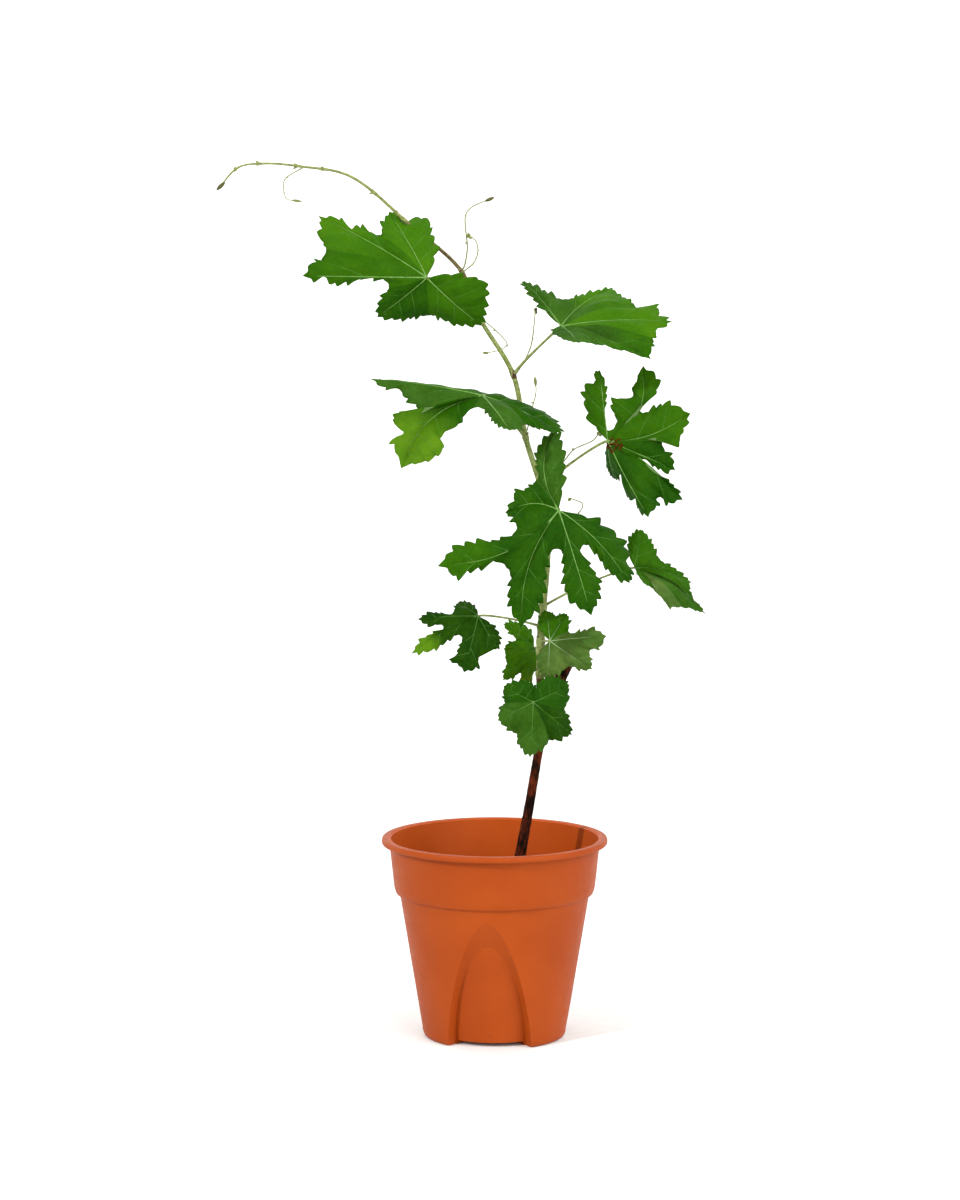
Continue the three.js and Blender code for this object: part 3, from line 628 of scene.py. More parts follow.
# The knots of its rising part by their height and those of its thin end by x, the heights where its
# colour changes, and the x past which it is olive.
LEAF_KNOTS = [224, 243, 258, 264, 274, 287, 325, 365, 398, 439, 476, 506]
BROWN_KNOTS = [439, 476]
END_KNOTS = [-59, -78, -110, -127, -151, -166]
GREEN_FROM, THIN_FROM = 240, 484
OLIVE_PAST = -56
BROWN_REACH = 3.2
BROWN_SIDE = -0.5
RIPE, THIN, OLIVE = 0, 2, 3

shoot_points, shoot_length = smooth_path(SHOOT_PATH, SHOOT_STEPS)
share = np.linspace(0, 1, len(shoot_points))
shoot_radii = SHOOT_BASE_RADIUS + (SHOOT_TIP_RADIUS - SHOOT_BASE_RADIUS) * share ** SHOOT_TAPER
rising = share < SHOOT_RISING


def shoot_at(height):
    """The index of the shoot's point at a height, on its rising part."""
    return int(np.argmin(np.where(rising, np.abs(shoot_points[:, 2] - height), np.inf)))


knots = [shoot_at(height) for height in LEAF_KNOTS]
end_knots = [int(np.argmin(np.abs(shoot_points[:, 0] - x))) for x in END_KNOTS]
for knot in [*knots, *end_knots]:
    away = (share - share[knot]) * shoot_length
    shoot_radii = shoot_radii * (1 + KNOT_SWELL * np.exp(-(away / KNOT_REACH) ** 2))

# Young skin has a mottle of 2 mm. Its reddish, green, brownish and olive parts differ in tone alone.
STEM_MOTTLE = 520.0


def stem_material(name, dark, light):
    """Young stem skin: finely mottled under short pale down, which keeps it from shining."""
    downy = {"Roughness": 0.65, "Sheen_Weight": 0.08, "Specular_IOR_Level": 0.25}
    return mottled(name, STEM_MOTTLE, (0.35, 0.65), dark, light, detail=5.0, relief=(0.4, 0.0003), **downy)


ripe_stem = stem_material("ripening_shoot_skin", "#2A1208", "#58301A")
green_stem = stem_material("green_shoot_skin", "#596527", "#808C52")
thin_stem = stem_material("thin_shoot_skin", "#433410", "#6E623A")
olive_stem = stem_material("shoot_tip_skin", "#58602B", "#7F864C")


def ribbed(share, turn):
    """Low ribs that twist slowly round the shoot."""
    return 1 + RIB_HEIGHT * np.cos(RIBS * turn + RIB_TWIST * share)


points, faces = tube(shoot_points, shoot_radii, SHOOT_SIDES, ribbed)
middle = np.array([np.mean([points[i] for i in f[:4]], axis=0) for f in faces])
kinds = np.digitize(middle[:, 2], (GREEN_FROM, THIN_FROM))
kinds = np.where((kinds == THIN) & (middle[:, 0] < OLIVE_PAST), OLIVE, kinds)
for height in BROWN_KNOTS:
    knot_at = shoot_points[shoot_at(height)]
    near = np.linalg.norm(middle - knot_at, axis=1) < BROWN_REACH
    kinds = np.where(near & (middle[:, 0] > knot_at[0] + BROWN_SIDE), RIPE, kinds)
shoot = new_object("shoot_skin", points, faces, [ripe_stem, green_stem, thin_stem, olive_stem], kinds)
keep(shoot, "shoot", "shoot_1", "shoot_2", "shoot_3", "shoot_4", "shoot_5")

# The buds and scale leaves on the shoot, and the two folded leaves of its tip, in mm.
BUD_STEPS = 9
BUD_SIDES = 8
SCALE_TURNS = (0.6, -0.9)
SCALE_LENGTHS = (2.8, 4.2)
SCALE_RADIUS = 0.75
SIDE_BUD = {"length": 3.0, "radius": 0.95, "outwards": 0.7}
TIP_BUD = {"length": 7.0, "radius": 1.3, "overlap": 4.5, "beside": ((0, 0, 0), (0.6, -0.4, 0.3))}


def bud(start, way, length, radius):
    """A bud or scale leaf as a tube that is blunt at its foot and pointed at its end."""
    t = np.linspace(0, 1, BUD_STEPS)
    path = start + unit(way) * (t * length)[:, None]
    return tube(path, radius * np.sin(math.pi * (0.12 + 0.86 * t)) ** 0.8, BUD_SIDES)


def joined(shapes):
    """Several (points, faces) shapes as one."""
    points, faces = [], []
    for some_points, some_faces in shapes:
        first = len(points)
        points.extend(some_points)
        faces.extend(tuple(first + i for i in f) for f in some_faces)
    return points, faces


ways = unit_rows(np.gradient(shoot_points, axis=0))
scales = []
for number, knot in enumerate(end_knots):
    for turn in SCALE_TURNS:
        way = ways[knot] + turn * np.array((0.15, -0.5, 0.9 if number % 2 else -0.8))
        scales.append(bud(shoot_points[knot], way, random.uniform(*SCALE_LENGTHS), SCALE_RADIUS))
buds = []
for number, knot in enumerate(knots[1:]):
    way = ways[knot] + np.array((0.9 if number % 2 else -0.9, -0.7, 0.4))
    start = shoot_points[knot] + unit(way) * shoot_radii[knot] * SIDE_BUD["outwards"]
    buds.append(bud(start, way, SIDE_BUD["length"], SIDE_BUD["radius"]))
end = shoot_points[-1] - ways[-1] * TIP_BUD["overlap"]
tip_starts = [end + np.array(side) for side in TIP_BUD["beside"]]
tip = [bud(start, ways[-1], TIP_BUD["length"], TIP_BUD["radius"]) for start in tip_starts]
pale_bud = stem_material("pale_bud_scale", "#5A5A32", "#747650")
dark_bud = stem_material("dark_bud_scale", "#34340A", "#505122")
keep(new_object("shoot_end_scales", *joined(scales), [olive_stem]), "shoot")
keep(new_object("shoot_tip_bud", *joined(tip), [dark_bud]), "shoot")
keep(new_object("shoot_buds", *joined(buds), [pale_bud]), "shoot")

# The leaves: five to seven toothed lobes round the top of a thin stalk. Each lobe has a main vein, and
# side veins run out to its larger teeth; the blade is quilted up between them. The upper side is a deep
# green with a waxy skin, some lobes with a painted sheen, and the underside is paler and dull.
BLADE_THICKNESS = 0.3
LARGE_LEAF = 55
# A lobe's outline, in shares of its length: the arch of its vein, the depth of a rounded bay, where near
# and far widen it, the free edges of the two outermost lobes, and how the rows across it set off further
# out along the vein where the bays beside it are shallow.
VEIN_ARCH = 0.08
SINUS = 0.085
SHOULDERS = (0.3, 0.72)
HUB_EDGE = 0.1
OPEN_EDGE = 0.8
OPEN_SHOULDER = (0.85, 0.28)
ROW_SPREAD = (1.2, 0.6)
# Four skins paint light and shade into the leaf colour: the first is painted shade, the fourth a painted
# glow, the fifth a painted sheen and the seventh painted light.
PAINTED_SHADE, DEEP, FRESH, PAINTED_GLOW, PAINTED_SHEEN, PALE, PAINTED_LIGHT = range(7)

# Leaves from the lowest up, each with its hub, the height where its stalk leaves the shoot and the
# angles of its two free edges. A lobe is (heading, climb, length, bow, near, far): heading 0 points to +X
# and 90 away from the front, bow bends the vein sideways, and near and far widen the lobe towards its
# foot and its tip. A notch is how far out the bay after a lobe ends, between the hub and the middle of
# the two tips. A tint of three values turns from the first to the second past that share. A bite is
# (lobe, side, place, width, depth): a round gap in that side's margin, placed and sized in shares, or a
# bulge where its depth is below zero.
# A lobe's tint picks its skin, so the painted shade, painted glow, painted sheen and painted light fall on
# the lobes that are listed with them.
LEAVES = [
    {"name": "leaf_1", "hub": (25, -28, 227), "from": 224, "open": (80, 68),
     "lobes": [(149, 22, 23.3, 0, 0.09, 0.1), (165, -28, 26, 0, 0.13, 0.09),
               (116, -83, 35.6, 0, 0.12, 0.11), (33, -38, 37.6, 0, 0.11, 0.02),
               (28, 20, 27.6, 0.01, 0.1, 0.1)],
     "notches": (0.9, 0.89, 0.89, 0.86),
     "tints": (DEEP, PAINTED_SHEEN, PAINTED_SHEEN, PAINTED_SHADE, DEEP)},
    {"name": "leaf_2", "hub": (26, 9, 258), "from": 258, "open": (54, 50),
     "lobes": [(165, 36, 25.1, 0, -0.02, 0.06), (-165, 0, 20.2, 0.01, 0.11, 0.1),
               (-155, -42, 29.5, 0, 0.05, 0.04), (-151, -75, 25.9, 0, 0.04, 0.08),
               (45, -62, 21.7, 0.01, 0.08, 0.1)],
     "notches": (0.63, 0.92, 0.72, 0.71),
     "tints": (PAINTED_LIGHT, PAINTED_LIGHT, PAINTED_LIGHT, (PAINTED_LIGHT, PAINTED_GLOW, 0.6), PAINTED_LIGHT)},
    {"name": "leaf_3", "hub": (36, -17, 266), "from": 264, "open": (46, 38),
     "lobes": [(-123, -87, 23.6, 0, 0.06, 0.1), (-15, -32, 32.3, -0.01, -0.04, 0.08),
               (-8, 6, 36, -0.01, 0.05, 0.19), (40, 48, 21.8, 0, 0.06, 0.09),
               (99, 58, 21.1, -0.01, 0.04, 0.1)],
     "notches": (0.85, 0.85, 0.54, 0.88),
     "tints": (PALE, PALE, PALE, FRESH, FRESH)},
    {"name": "leaf_4", "hub": (-11, -14, 282), "from": 274, "open": (40, 36),
     "lobes": [(141, 25, 17.9, 0.01, -0.02, 0.16), (-174, -2, 38.1, 0.01, 0, 0.14),
               (-164, -27, 48.9, -0.09, 0.05, 0.09), (-132, -69, 36.8, 0, 0.05, 0.24),
               (-10, -61, 24, 0, 0.02, 0.14)],
     "notches": (0.64, 0.57, 0.45, 0.94),
     "bites": [(3, 0, 0.7, 0.07, -0.14)],
     "tints": (PAINTED_SHADE, PAINTED_SHADE, (PAINTED_SHADE, PAINTED_GLOW, 0.66), PAINTED_SHADE, PAINTED_SHADE)},
    {"name": "leaf_5", "hub": (92, 4, 312), "from": 287, "open": (27, 39),
     "lobes": [(-62, -30, 19.6, 0.01, 0.04, 0.1), (-49, -36, 40.7, 0.01, -0.01, 0.1),
               (-18, -31, 54.3, 0.15, -0.03, 0), (8, -15, 38.4, 0.11, 0.09, 0.01),
               (64, 60, 26.4, 0.02, 0.01, 0.11)],
     "notches": (0.79, 0.95, 0.95, 0.79),
     "tints": (FRESH, PALE, PAINTED_SHEEN, FRESH, FRESH)},
    {"name": "leaf_6", "hub": (41, -42, 354), "from": 325, "open": (14, 34),
     "lobes": [(105, 73, 50.7, 0.29, 0.06, 0.23), (176, -3, 33.2, -0.3, 0.05, 0.17),
               (-172, -24, 82.8, 0.26, -0.08, 0.15), (-162, -71, 76.4, -0.2, 0, 0.14),
               (-17, -72, 68.2, -0.01, 0.07, 0.23), (17, -45, 66.2, 0.09, -0.07, 0.14)],
     "notches": (0.8, 0.51, 0.69, 0.36, 0.43),
     "bites": [(1, 1, 0.7, 0.1, 0.08), (1, 0, 0.55, 0.1, -0.1), (2, 1, 0.78, 0.08, -0.045),
               (5, 1, 0.66, 0.08, 0.05)],
     "tints": (PAINTED_SHEEN, DEEP, (DEEP, FRESH, 0.6), DEEP, DEEP, DEEP)},
    {"name": "leaf_7", "hub": (74, -4, 396), "from": 365, "open": (35, 36),
     "lobes": [(69, -62, 28.2, -0.01, 0.02, 0.19), (-34, -57, 55.3, 0.01, 0.01, 0.2),
               (-19, -36, 60.6, 0.14, -0.04, 0.18), (-19, -21, 47.3, 0.01, -0.07, 0.14),
               (-11, 19, 55.2, -0.2, 0.08, 0.21), (15, 64, 51.9, -0.41, 0.09, 0.16),
               (117, 76, 45.6, 0, -0.05, 0.12)],
     "notches": (0.6, 0.89, 0.48, 0.76, 0.59, 0.15),
     "bites": [(6, 1, 0.7, 0.1, 0.1), (5, 1, 0.56, 0.1, 0.08), (5, 1, 0.72, 0.2, 0.09),
               (5, 1, 0.37, 0.13, -0.1), (5, 0, 0.65, 0.28, -0.13), (4, 0, 0.4, 0.12, -0.1),
               (1, 0, 0.62, 0.09, 0.08), (1, 0, 0.4, 0.14, -0.08)],
     "tints": (DEEP, DEEP, DEEP, DEEP, FRESH, FRESH, FRESH)},
    {"name": "leaf_8", "hub": (-8, -26, 427), "from": 398, "open": (50, 49),
     "lobes": [(79, -5, 40.9, 0, 0.01, 0.13), (172, 8, 72.2, 0.05, -0.07, 0.02),
               (-152, -37, 71.4, -0.31, 0.11, 0.39), (-65, -26, 44.4, -0.01, -0.04, 0.09),
               (-16, -24, 55.4, 0, 0.04, 0.15)],
     "notches": (0.47, 0.69, 0.27, 0.86),
     "bites": [(2, 1, 0.43, 0.13, 0.13), (2, 1, 0.72, 0.12, -0.09), (2, 0, 0.6, 0.1, 0.09),
               (2, 0, 0.36, 0.12, -0.09), (1, 1, 0.5, 0.12, 0.04)],
     "tints": (DEEP, PAINTED_SHEEN, (DEEP, PAINTED_GLOW, 0.48), PAINTED_SHEEN, DEEP)},
    {"name": "leaf_9", "hub": (43, -8, 471), "from": 439, "open": (47, 8),
     "lobes": [(-72, -16, 33.3, 0, 0.08, 0.11), (-32, -16, 67.2, -0.02, 0.06, 0.06),
               (-12, 3, 70.2, 0.01, 0.07, 0.04), (40, 28, 49.1, 0.11, 0.06, 0.03),
               (127, 36, 47.2, 0, -0.03, -0.01)],
     "notches": (0.89, 0.95, 0.95, 0.63),
     "bites": [(2, 0, 0.55, 0.16, 0.05), (2, 1, 0.45, 0.14, -0.07)],
     "tints": (PAINTED_SHEEN, (PAINTED_SHEEN, FRESH, 0.6), PAINTED_LIGHT, (PAINTED_SHEEN, PAINTED_LIGHT, 0.45), PAINTED_SHEEN)},
    {"name": "leaf_10", "hub": (-44, -24, 503), "from": 476, "open": (48, 57),
     "lobes": [(135, 50, 52.8, 0, 0.05, 0.09), (170, 29, 78.6, 0, 0.07, 0.04),
               (-173, 1, 77.3, 0, -0.08, 0.11), (162, -37, 41.1, 0, 0.08, 0.13),
               (25, -39, 47.9, -0.01, 0.08, 0.11)],
     "notches": (0.66, 0.9, 0.46, 0.9),
     "bites": [(0, 0, 0.72, 0.09, 0.12), (0, 0, 0.5, 0.1, -0.07), (1, 0, 0.55, 0.1, 0.05),
               (2, 1, 0.78, 0.07, 0.05), (4, 1, 0.45, 0.14, -0.09)],
     "tints": (PAINTED_LIGHT, (FRESH, PAINTED_LIGHT, 0.45), FRESH, DEEP, FRESH)},
]


# Clouds 17 mm across and a finer mottle of 2.4 mm tint a leaf's skin, over a net of veins 3 mm apart.
LEAF_CLOUDS = 60.0
LEAF_MOTTLE = 420.0
MOTTLE_SHARE = 0.35
TINT_SPAN = (0.36, 0.66)
VEIN_NET = 330.0
TURNS_OVER = (0.75, 1.25)
LEAF_SHINE = {"IOR": 1.4, "Specular_IOR_Level": 0.04}
LIGHT_SOAKS = {"Subsurface_Weight": 0.1, "Subsurface_Scale": 0.001}


def leaf_skin(name, tones, rough=0.5, turning=None):
    """Leaf tissue: a waxy skin over a net of small veins, mottled, with light soaking a little way in.
    turning is a tip that has a second pair of tones, which fade out over a distance in metres."""
    material, shader, place = new_material(name)
    broad, fine = grain(material, place, LEAF_CLOUDS, 3.0), grain(material, place, LEAF_MOTTLE, 4.0)
    mixed = {"Factor": MOTTLE_SHARE, "A": broad, "B": fine}
    both = add_node(material, "ShaderNodeMix", mixed).outputs["Result"]
    tint = two_tones(material, both, *TINT_SPAN, *tones)
    if turning:
        tip, tip_tones, distance = turning
        away = add_node(material, "ShaderNodeVectorMath", {0: place, 1: tip}, operation="DISTANCE")
        start, end = (distance * share for share in TURNS_OVER)
        fade = {"From Min": start, "From Max": end, "To Min": 1.0, "To Max": 0.0}
        share = add_node(material, "ShaderNodeMapRange", {"Value": away.outputs["Value"], **fade})
        turned_tint = two_tones(material, both, *TINT_SPAN, *tip_tones)
        blend = add_node(material, "ShaderNodeMixRGB",
                         {"Fac": share.outputs["Result"], "Color1": tint, "Color2": turned_tint})
        tint = blend.outputs["Color"]
    cells = {"Vector": place, "Scale": VEIN_NET}
    net = add_node(material, "ShaderNodeTexVoronoi", cells, feature="DISTANCE_TO_EDGE")
    height = add_node(material, "ShaderNodeMapRange", {"Value": net.outputs["Distance"], "From Max": 0.25})
    return finish_material(material, shader, tint, height.outputs["Result"], 0.45, Roughness=rough,
                           **LEAF_SHINE, **LIGHT_SOAKS)


# The dark and the light tone of each skin, in the order of the constants above. The skins differ by the
# leaf's age,
# and by painted light and shade: the shaded skin is painted shade on lobes that lie in shade, the fourth a
# painted glow where light comes through a thin lobe, the fifth a painted sheen and the bright skin painted
# light on lobes that face the light.
TONES = [
    ("#0C2E01", "#204201"),
    ("#143B01", "#234B02"),
    ("#214A01", "#2D5703"),
    ("#3B6308", "#4D710E"),
    ("#234507", "#325716"),
    ("#34501A", "#496129"),
    ("#2C5803", "#3A6406"),
]
SKIN_NAMES = ("shaded", "deep", "fresh", "painted_glow", "painted_sheen", "pale", "bright")
skins = [leaf_skin(name + "_leaf_skin", tones) for name, tones in zip(SKIN_NAMES, TONES)]
underside = leaf_skin("leaf_underside", ("#496334", "#607849"), 0.75)
main_vein = stem_material("leaf_main_vein", "#4B752B", "#6A8F45")
side_vein = stem_material("leaf_side_vein", "#2F5B13", "#457025")
pale_vein = stem_material("pale_leaf_vein", "#708659", "#869971")
stalk_skin = stem_material("leaf_stalk_skin", "#59652E", "#7F8B52")

# Rust: dry brown pustules, some dark and some orange, which stand out dull on the green.
RUST_GRIT = 1500.0
rust = mottled("rust_speck", RUST_GRIT, (0.4, 0.6), "#1E0E03", "#5E2E0A", Roughness=0.85,
               Specular_IOR_Level=0.05)


def bezier(points, t):
    """Points at shares t along a Bezier curve with any number of control points."""
    row = [np.repeat(p[None], len(t), axis=0) for p in points]
    t = t[:, None]
    while len(row) > 1:
        row = [a + (b - a) * t for a, b in zip(row, row[1:])]
    return row[0]


def plan_leaf(leaf):
    """A leaf's lobes as vectors from its hub: their veins and normals, and for each half its side, the way
    out, its outline, its normal and how far its rounded bay and its bites cut in."""
    tips = []
    for heading, climb, length, *_ in leaf["lobes"]:
        h, c = math.radians(heading), math.radians(climb)
        tips.append(length * np.array((math.cos(c) * math.cos(h), math.cos(c) * math.sin(h), math.sin(c))))
    bays = []
    for depth, a, b in zip(leaf["notches"], tips, tips[1:]):
        normal, middle = unit(np.cross(a, b)), (a + b) / 2
        lift = 2 * VEIN_ARCH * depth * (1 - depth) * np.linalg.norm(middle)
        bays.append((middle * depth + normal * lift, normal))
    lobes = []
    for i, (tip, (_, _, _, bow, near, far)) in enumerate(zip(tips, leaf["lobes"])):
        length, ahead = np.linalg.norm(tip), unit(tip)
        beside = (bays[i - 1] if i > 0 else None, bays[i] if i < len(bays) else None)
        normal = sum(bay[1] for bay in beside if bay)
        normal = unit(normal - ahead * normal.dot(ahead))
        left = np.cross(normal, ahead)
        crest = tip / 2 + normal * VEIN_ARCH * length + left * bow * length
        halves = []
        for side, bay in enumerate(beside):
            bites = [bite[2:] for bite in leaf.get("bites", []) if bite[:2] == (i, side)]
            half = {"side": side, "bites": [(at, width, deep * length) for at, width, deep in bites]}
            halves.append(half)
            if bay is None:
                out = left if side else -left
                turn = math.radians(leaf["open"][side])
                edge = ahead * math.cos(turn) + out * math.sin(turn)
                shoulder = tip * OPEN_SHOULDER[0] + edge * OPEN_SHOULDER[1] * length
                outline = [edge * HUB_EDGE * length, edge * OPEN_EDGE * length, shoulder, tip]
                half.update(out=out, outline=outline, normal=normal, sinus=0)
                continue
            sideways = unit(bay[0] - ahead * bay[0].dot(ahead))
            outline = [bay[0] + (tip - bay[0]) * t for t in (0, *SHOULDERS, 1)]
            outline[1] = outline[1] + sideways * near * length
            outline[2] = outline[2] + sideways * far * length
            sinus = SINUS * (length - np.linalg.norm(bay[0]))
            half.update(out=sideways, outline=outline, normal=bay[1], sinus=sinus)
        bay_at = sum(half["outline"][0].dot(ahead) for half in halves) / (2 * length)
        spread = ROW_SPREAD[0] - ROW_SPREAD[1] * bay_at
        lobes.append({"length": length, "ahead": ahead, "normal": normal, "vein": [np.zeros(3), crest, tip],
                      "halves": halves, "spread": spread})
    return lobes


# Teeth: their pitch grows a little with the lobe, and large and small ones take turns. A tooth rises
# slowly from the hub's side to its point and falls fast past it, along convex flanks.
TOOTH_PITCH = 2.9
TOOTH_PITCH_GROWTH = 0.06
TOOTH_COUNTS = (3, 8)
TOOTH_WIDTHS = (0.65, 1.35)
TOOTH_HEIGHT = 0.33
SMALL_TOOTH, LARGE_TOOTH = 0.7, 1.3
TOOTH_VARIES = (0.8, 1.2)
FIRST_TOOTH = 0.4
LAST_VALLEY = 0.93
TOOTH_LEAN = 0.64
FLANK = {"curved": 0.6, "power": 1.8, "straight": 0.55}
MARGIN_STEPS = 30


def plan_teeth(lobe, half):
    """The places along a half-lobe's margin between its teeth, and each tooth's height; every other
    tooth is small, and the first, deep in the bay, hardly stands out."""
    line = bezier(half["outline"], np.linspace(0, 1, MARGIN_STEPS))
    around = np.linalg.norm(np.diff(line, axis=0), axis=1).sum()
    pitch = TOOTH_PITCH + TOOTH_PITCH_GROWTH * lobe["length"]
    count = int(np.clip(round(around / pitch), *TOOTH_COUNTS))
    widths = random.uniform(*TOOTH_WIDTHS, count)
    valleys = np.concatenate([[0], np.cumsum(widths)]) / widths.sum() * LAST_VALLEY
    sizes = np.where(np.arange(count) % 2 == 1, LARGE_TOOTH, SMALL_TOOTH)
    heights = TOOTH_HEIGHT * around / count * (sizes * random.uniform(*TOOTH_VARIES, count))
    heights[0] *= FIRST_TOOTH
    return valleys, heights


def tooth_at(m, teeth):
    """How far the margin stands out at shares m: convex teeth that lean towards the lobe's tip."""
    valleys, heights = teeth
    cell = np.clip(np.searchsorted(valleys, m, side="right") - 1, 0, len(heights) - 1)
    s = np.clip((m - valleys[cell]) / (valleys[cell + 1] - valleys[cell]), 0, 1)
    down = np.where(s < TOOTH_LEAN, 1 - s / TOOTH_LEAN, (s - TOOTH_LEAN) / (1 - TOOTH_LEAN))
    stand = heights[cell] * (1 - FLANK["curved"] * down ** FLANK["power"] - FLANK["straight"] * down)
    return np.where((m <= 0) | (m >= valleys[-1]), 0, stand)


# The blade arches between its main vein and its margin, is quilted between its side veins and ripples
# at its margin, by shares of its width there. Slow swells of 0.9 mm go over the whole leaf.
SLOPE_STEP = 0.03
LEAST_AWAY = 0.3
BAY_SHARE = 0.6
BITTEN_TEETH = 0.8
TOOTH_FORWARD = 0.4
TEETH_FROM = 0.55
BLADE_ARCH = 0.1
QUILT = 0.03
RIPPLE = 0.035
RIPPLES = 8
SWELL = {"height": 0.9, "per_mm": 0.075, "from_vein": 3}
APEX = {"length": 0.04, "from": 0.9, "rise": 10, "power": 1.4}


def blade_points(lobe, half, m, u, teeth, veins_at, wave, hub):
    """The blade's surface at shares m along a half-lobe's margin and u from its main vein to there."""
    out, outline = half["out"], half["outline"]
    start = bezier(lobe["vein"], m ** lobe["spread"])
    ahead, behind = np.minimum(m + SLOPE_STEP, 1), np.maximum(m - SLOPE_STEP, 0)
    slope = unit_rows(bezier(outline, ahead) - bezier(outline, behind))
    away = out - slope * (slope @ out)[:, None]
    away /= np.maximum(np.linalg.norm(away, axis=1), LEAST_AWAY)[:, None]
    inward = half["sinus"] * np.sin(math.pi * np.sqrt(np.minimum(m / BAY_SHARE, 1)))
    stand = tooth_at(m, teeth)
    for at, width, deep in half["bites"]:
        bitten = np.exp(-((m - at) / width) ** 4)
        inward = inward + deep * bitten
        stand = stand * (1 - BITTEN_TEETH * bitten * (deep > 0))
    end = bezier(outline, m) - away * inward[:, None]
    push = stand[:, None] * (away + TOOTH_FORWARD * slope)
    up = unit_rows(half["normal"] * (1 - m[:, None]) + lobe["normal"] * m[:, None])
    span = np.linalg.norm(end - start, axis=1)[:, None]
    cells = np.interp(m, veins_at, np.arange(len(veins_at)))[:, None]
    rise = BLADE_ARCH * span * np.sin(math.pi * u) ** 1.5
    quilt = QUILT * span * np.sin(math.pi * cells) ** 2 * np.sin(math.pi * u) ** 0.7
    ripple = RIPPLE * span * (4 * m * (1 - m) * np.sin(RIPPLES * m + wave))[:, None] * u ** 2
    flat = start[:, None] + (end - start)[:, None] * u[None, :, None] + hub
    grid = flat + up[:, None] * (rise + quilt + ripple)[..., None]
    near_edge = np.clip((u - TEETH_FROM) / (1 - TEETH_FROM), 0, 1) ** 1.5
    grid = grid + push[:, None] * near_edge[None, :, None]
    near_tip = np.clip((m - APEX["from"]) * APEX["rise"], 0, 1) ** APEX["power"]
    apex = APEX["length"] * lobe["length"] * near_tip
    grid = grid + lobe["ahead"] * apex[:, None, None]
    swell = np.array([[noise.noise(Vector(p) * SWELL["per_mm"]) for p in row] for row in flat])
    return grid + up[:, None] * (SWELL["height"] * swell * np.minimum(1, SWELL["from_vein"] * u))[..., None]


# The rows and columns of a half-lobe's mesh in shares, and the steps, sides and radii of its veins.
COLUMNS = np.array((0, 0.06, 0.15, 0.27, 0.4, 0.53, 0.65, 0.75, 0.84, 0.92, 1))
TOOTH_ROWS = (0, 0.2, 0.38, 0.52, TOOTH_LEAN, 0.76, 0.88)
TIP_ROWS = 6
WAVE_STARTS = (0, 6)
MAIN_VEIN = {"end": 0.98, "steps": 34, "sides": 6,
             "at": (0, 0.15, 0.6, 1), "radii": (0.62, 0.46, 0.32, 0.17)}
SIDE_VEIN = {"end": 0.94, "steps": 14, "sides": 5, "radii": (0.23, 0.16)}
SMALL_LEAF_VEINS = 0.66
NEAR_HUB = 11
WELD = 2e-6
SLIVER = 1e-7

# A stalk leaves the shoot upwards, swings below and behind the blade and comes up to it at the hub; the
# swings are shares of the way from the shoot to the hub.
STALK = {"steps": 48, "sides": 12, "at": (0, 0.08, 0.5, 1), "radii": (1.6, 1.1, 0.85, 0.95)}
SMALL_LEAF_STALK = 0.8
STALK_LEAVES_AT = 0.3
STALK_RISE = 0.06
STALK_BEHIND = 0.12
STALK_BELOW = 0.1


def make_stalk(leaf, hub, forward, up, large):
    """A leaf's stalk, from the shoot to the leaf's hub."""
    start = shoot_points[shoot_at(leaf["from"])]
    reach = np.linalg.norm(hub - start)
    leaving = start + (hub - start) * STALK_LEAVES_AT + np.array((0, 0, STALK_RISE * reach))
    under = hub - forward * STALK_BEHIND * reach - up * STALK_BELOW * reach
    t = np.linspace(0, 1, STALK["steps"])
    radii = np.interp(t, STALK["at"], STALK["radii"]) * (1 if large else SMALL_LEAF_STALK)
    shape = tube(bezier([start, leaving, under, hub], t), radii, STALK["sides"])
    keep(new_object(leaf["name"] + "_stalk", *shape, [stalk_skin]), "leaf")


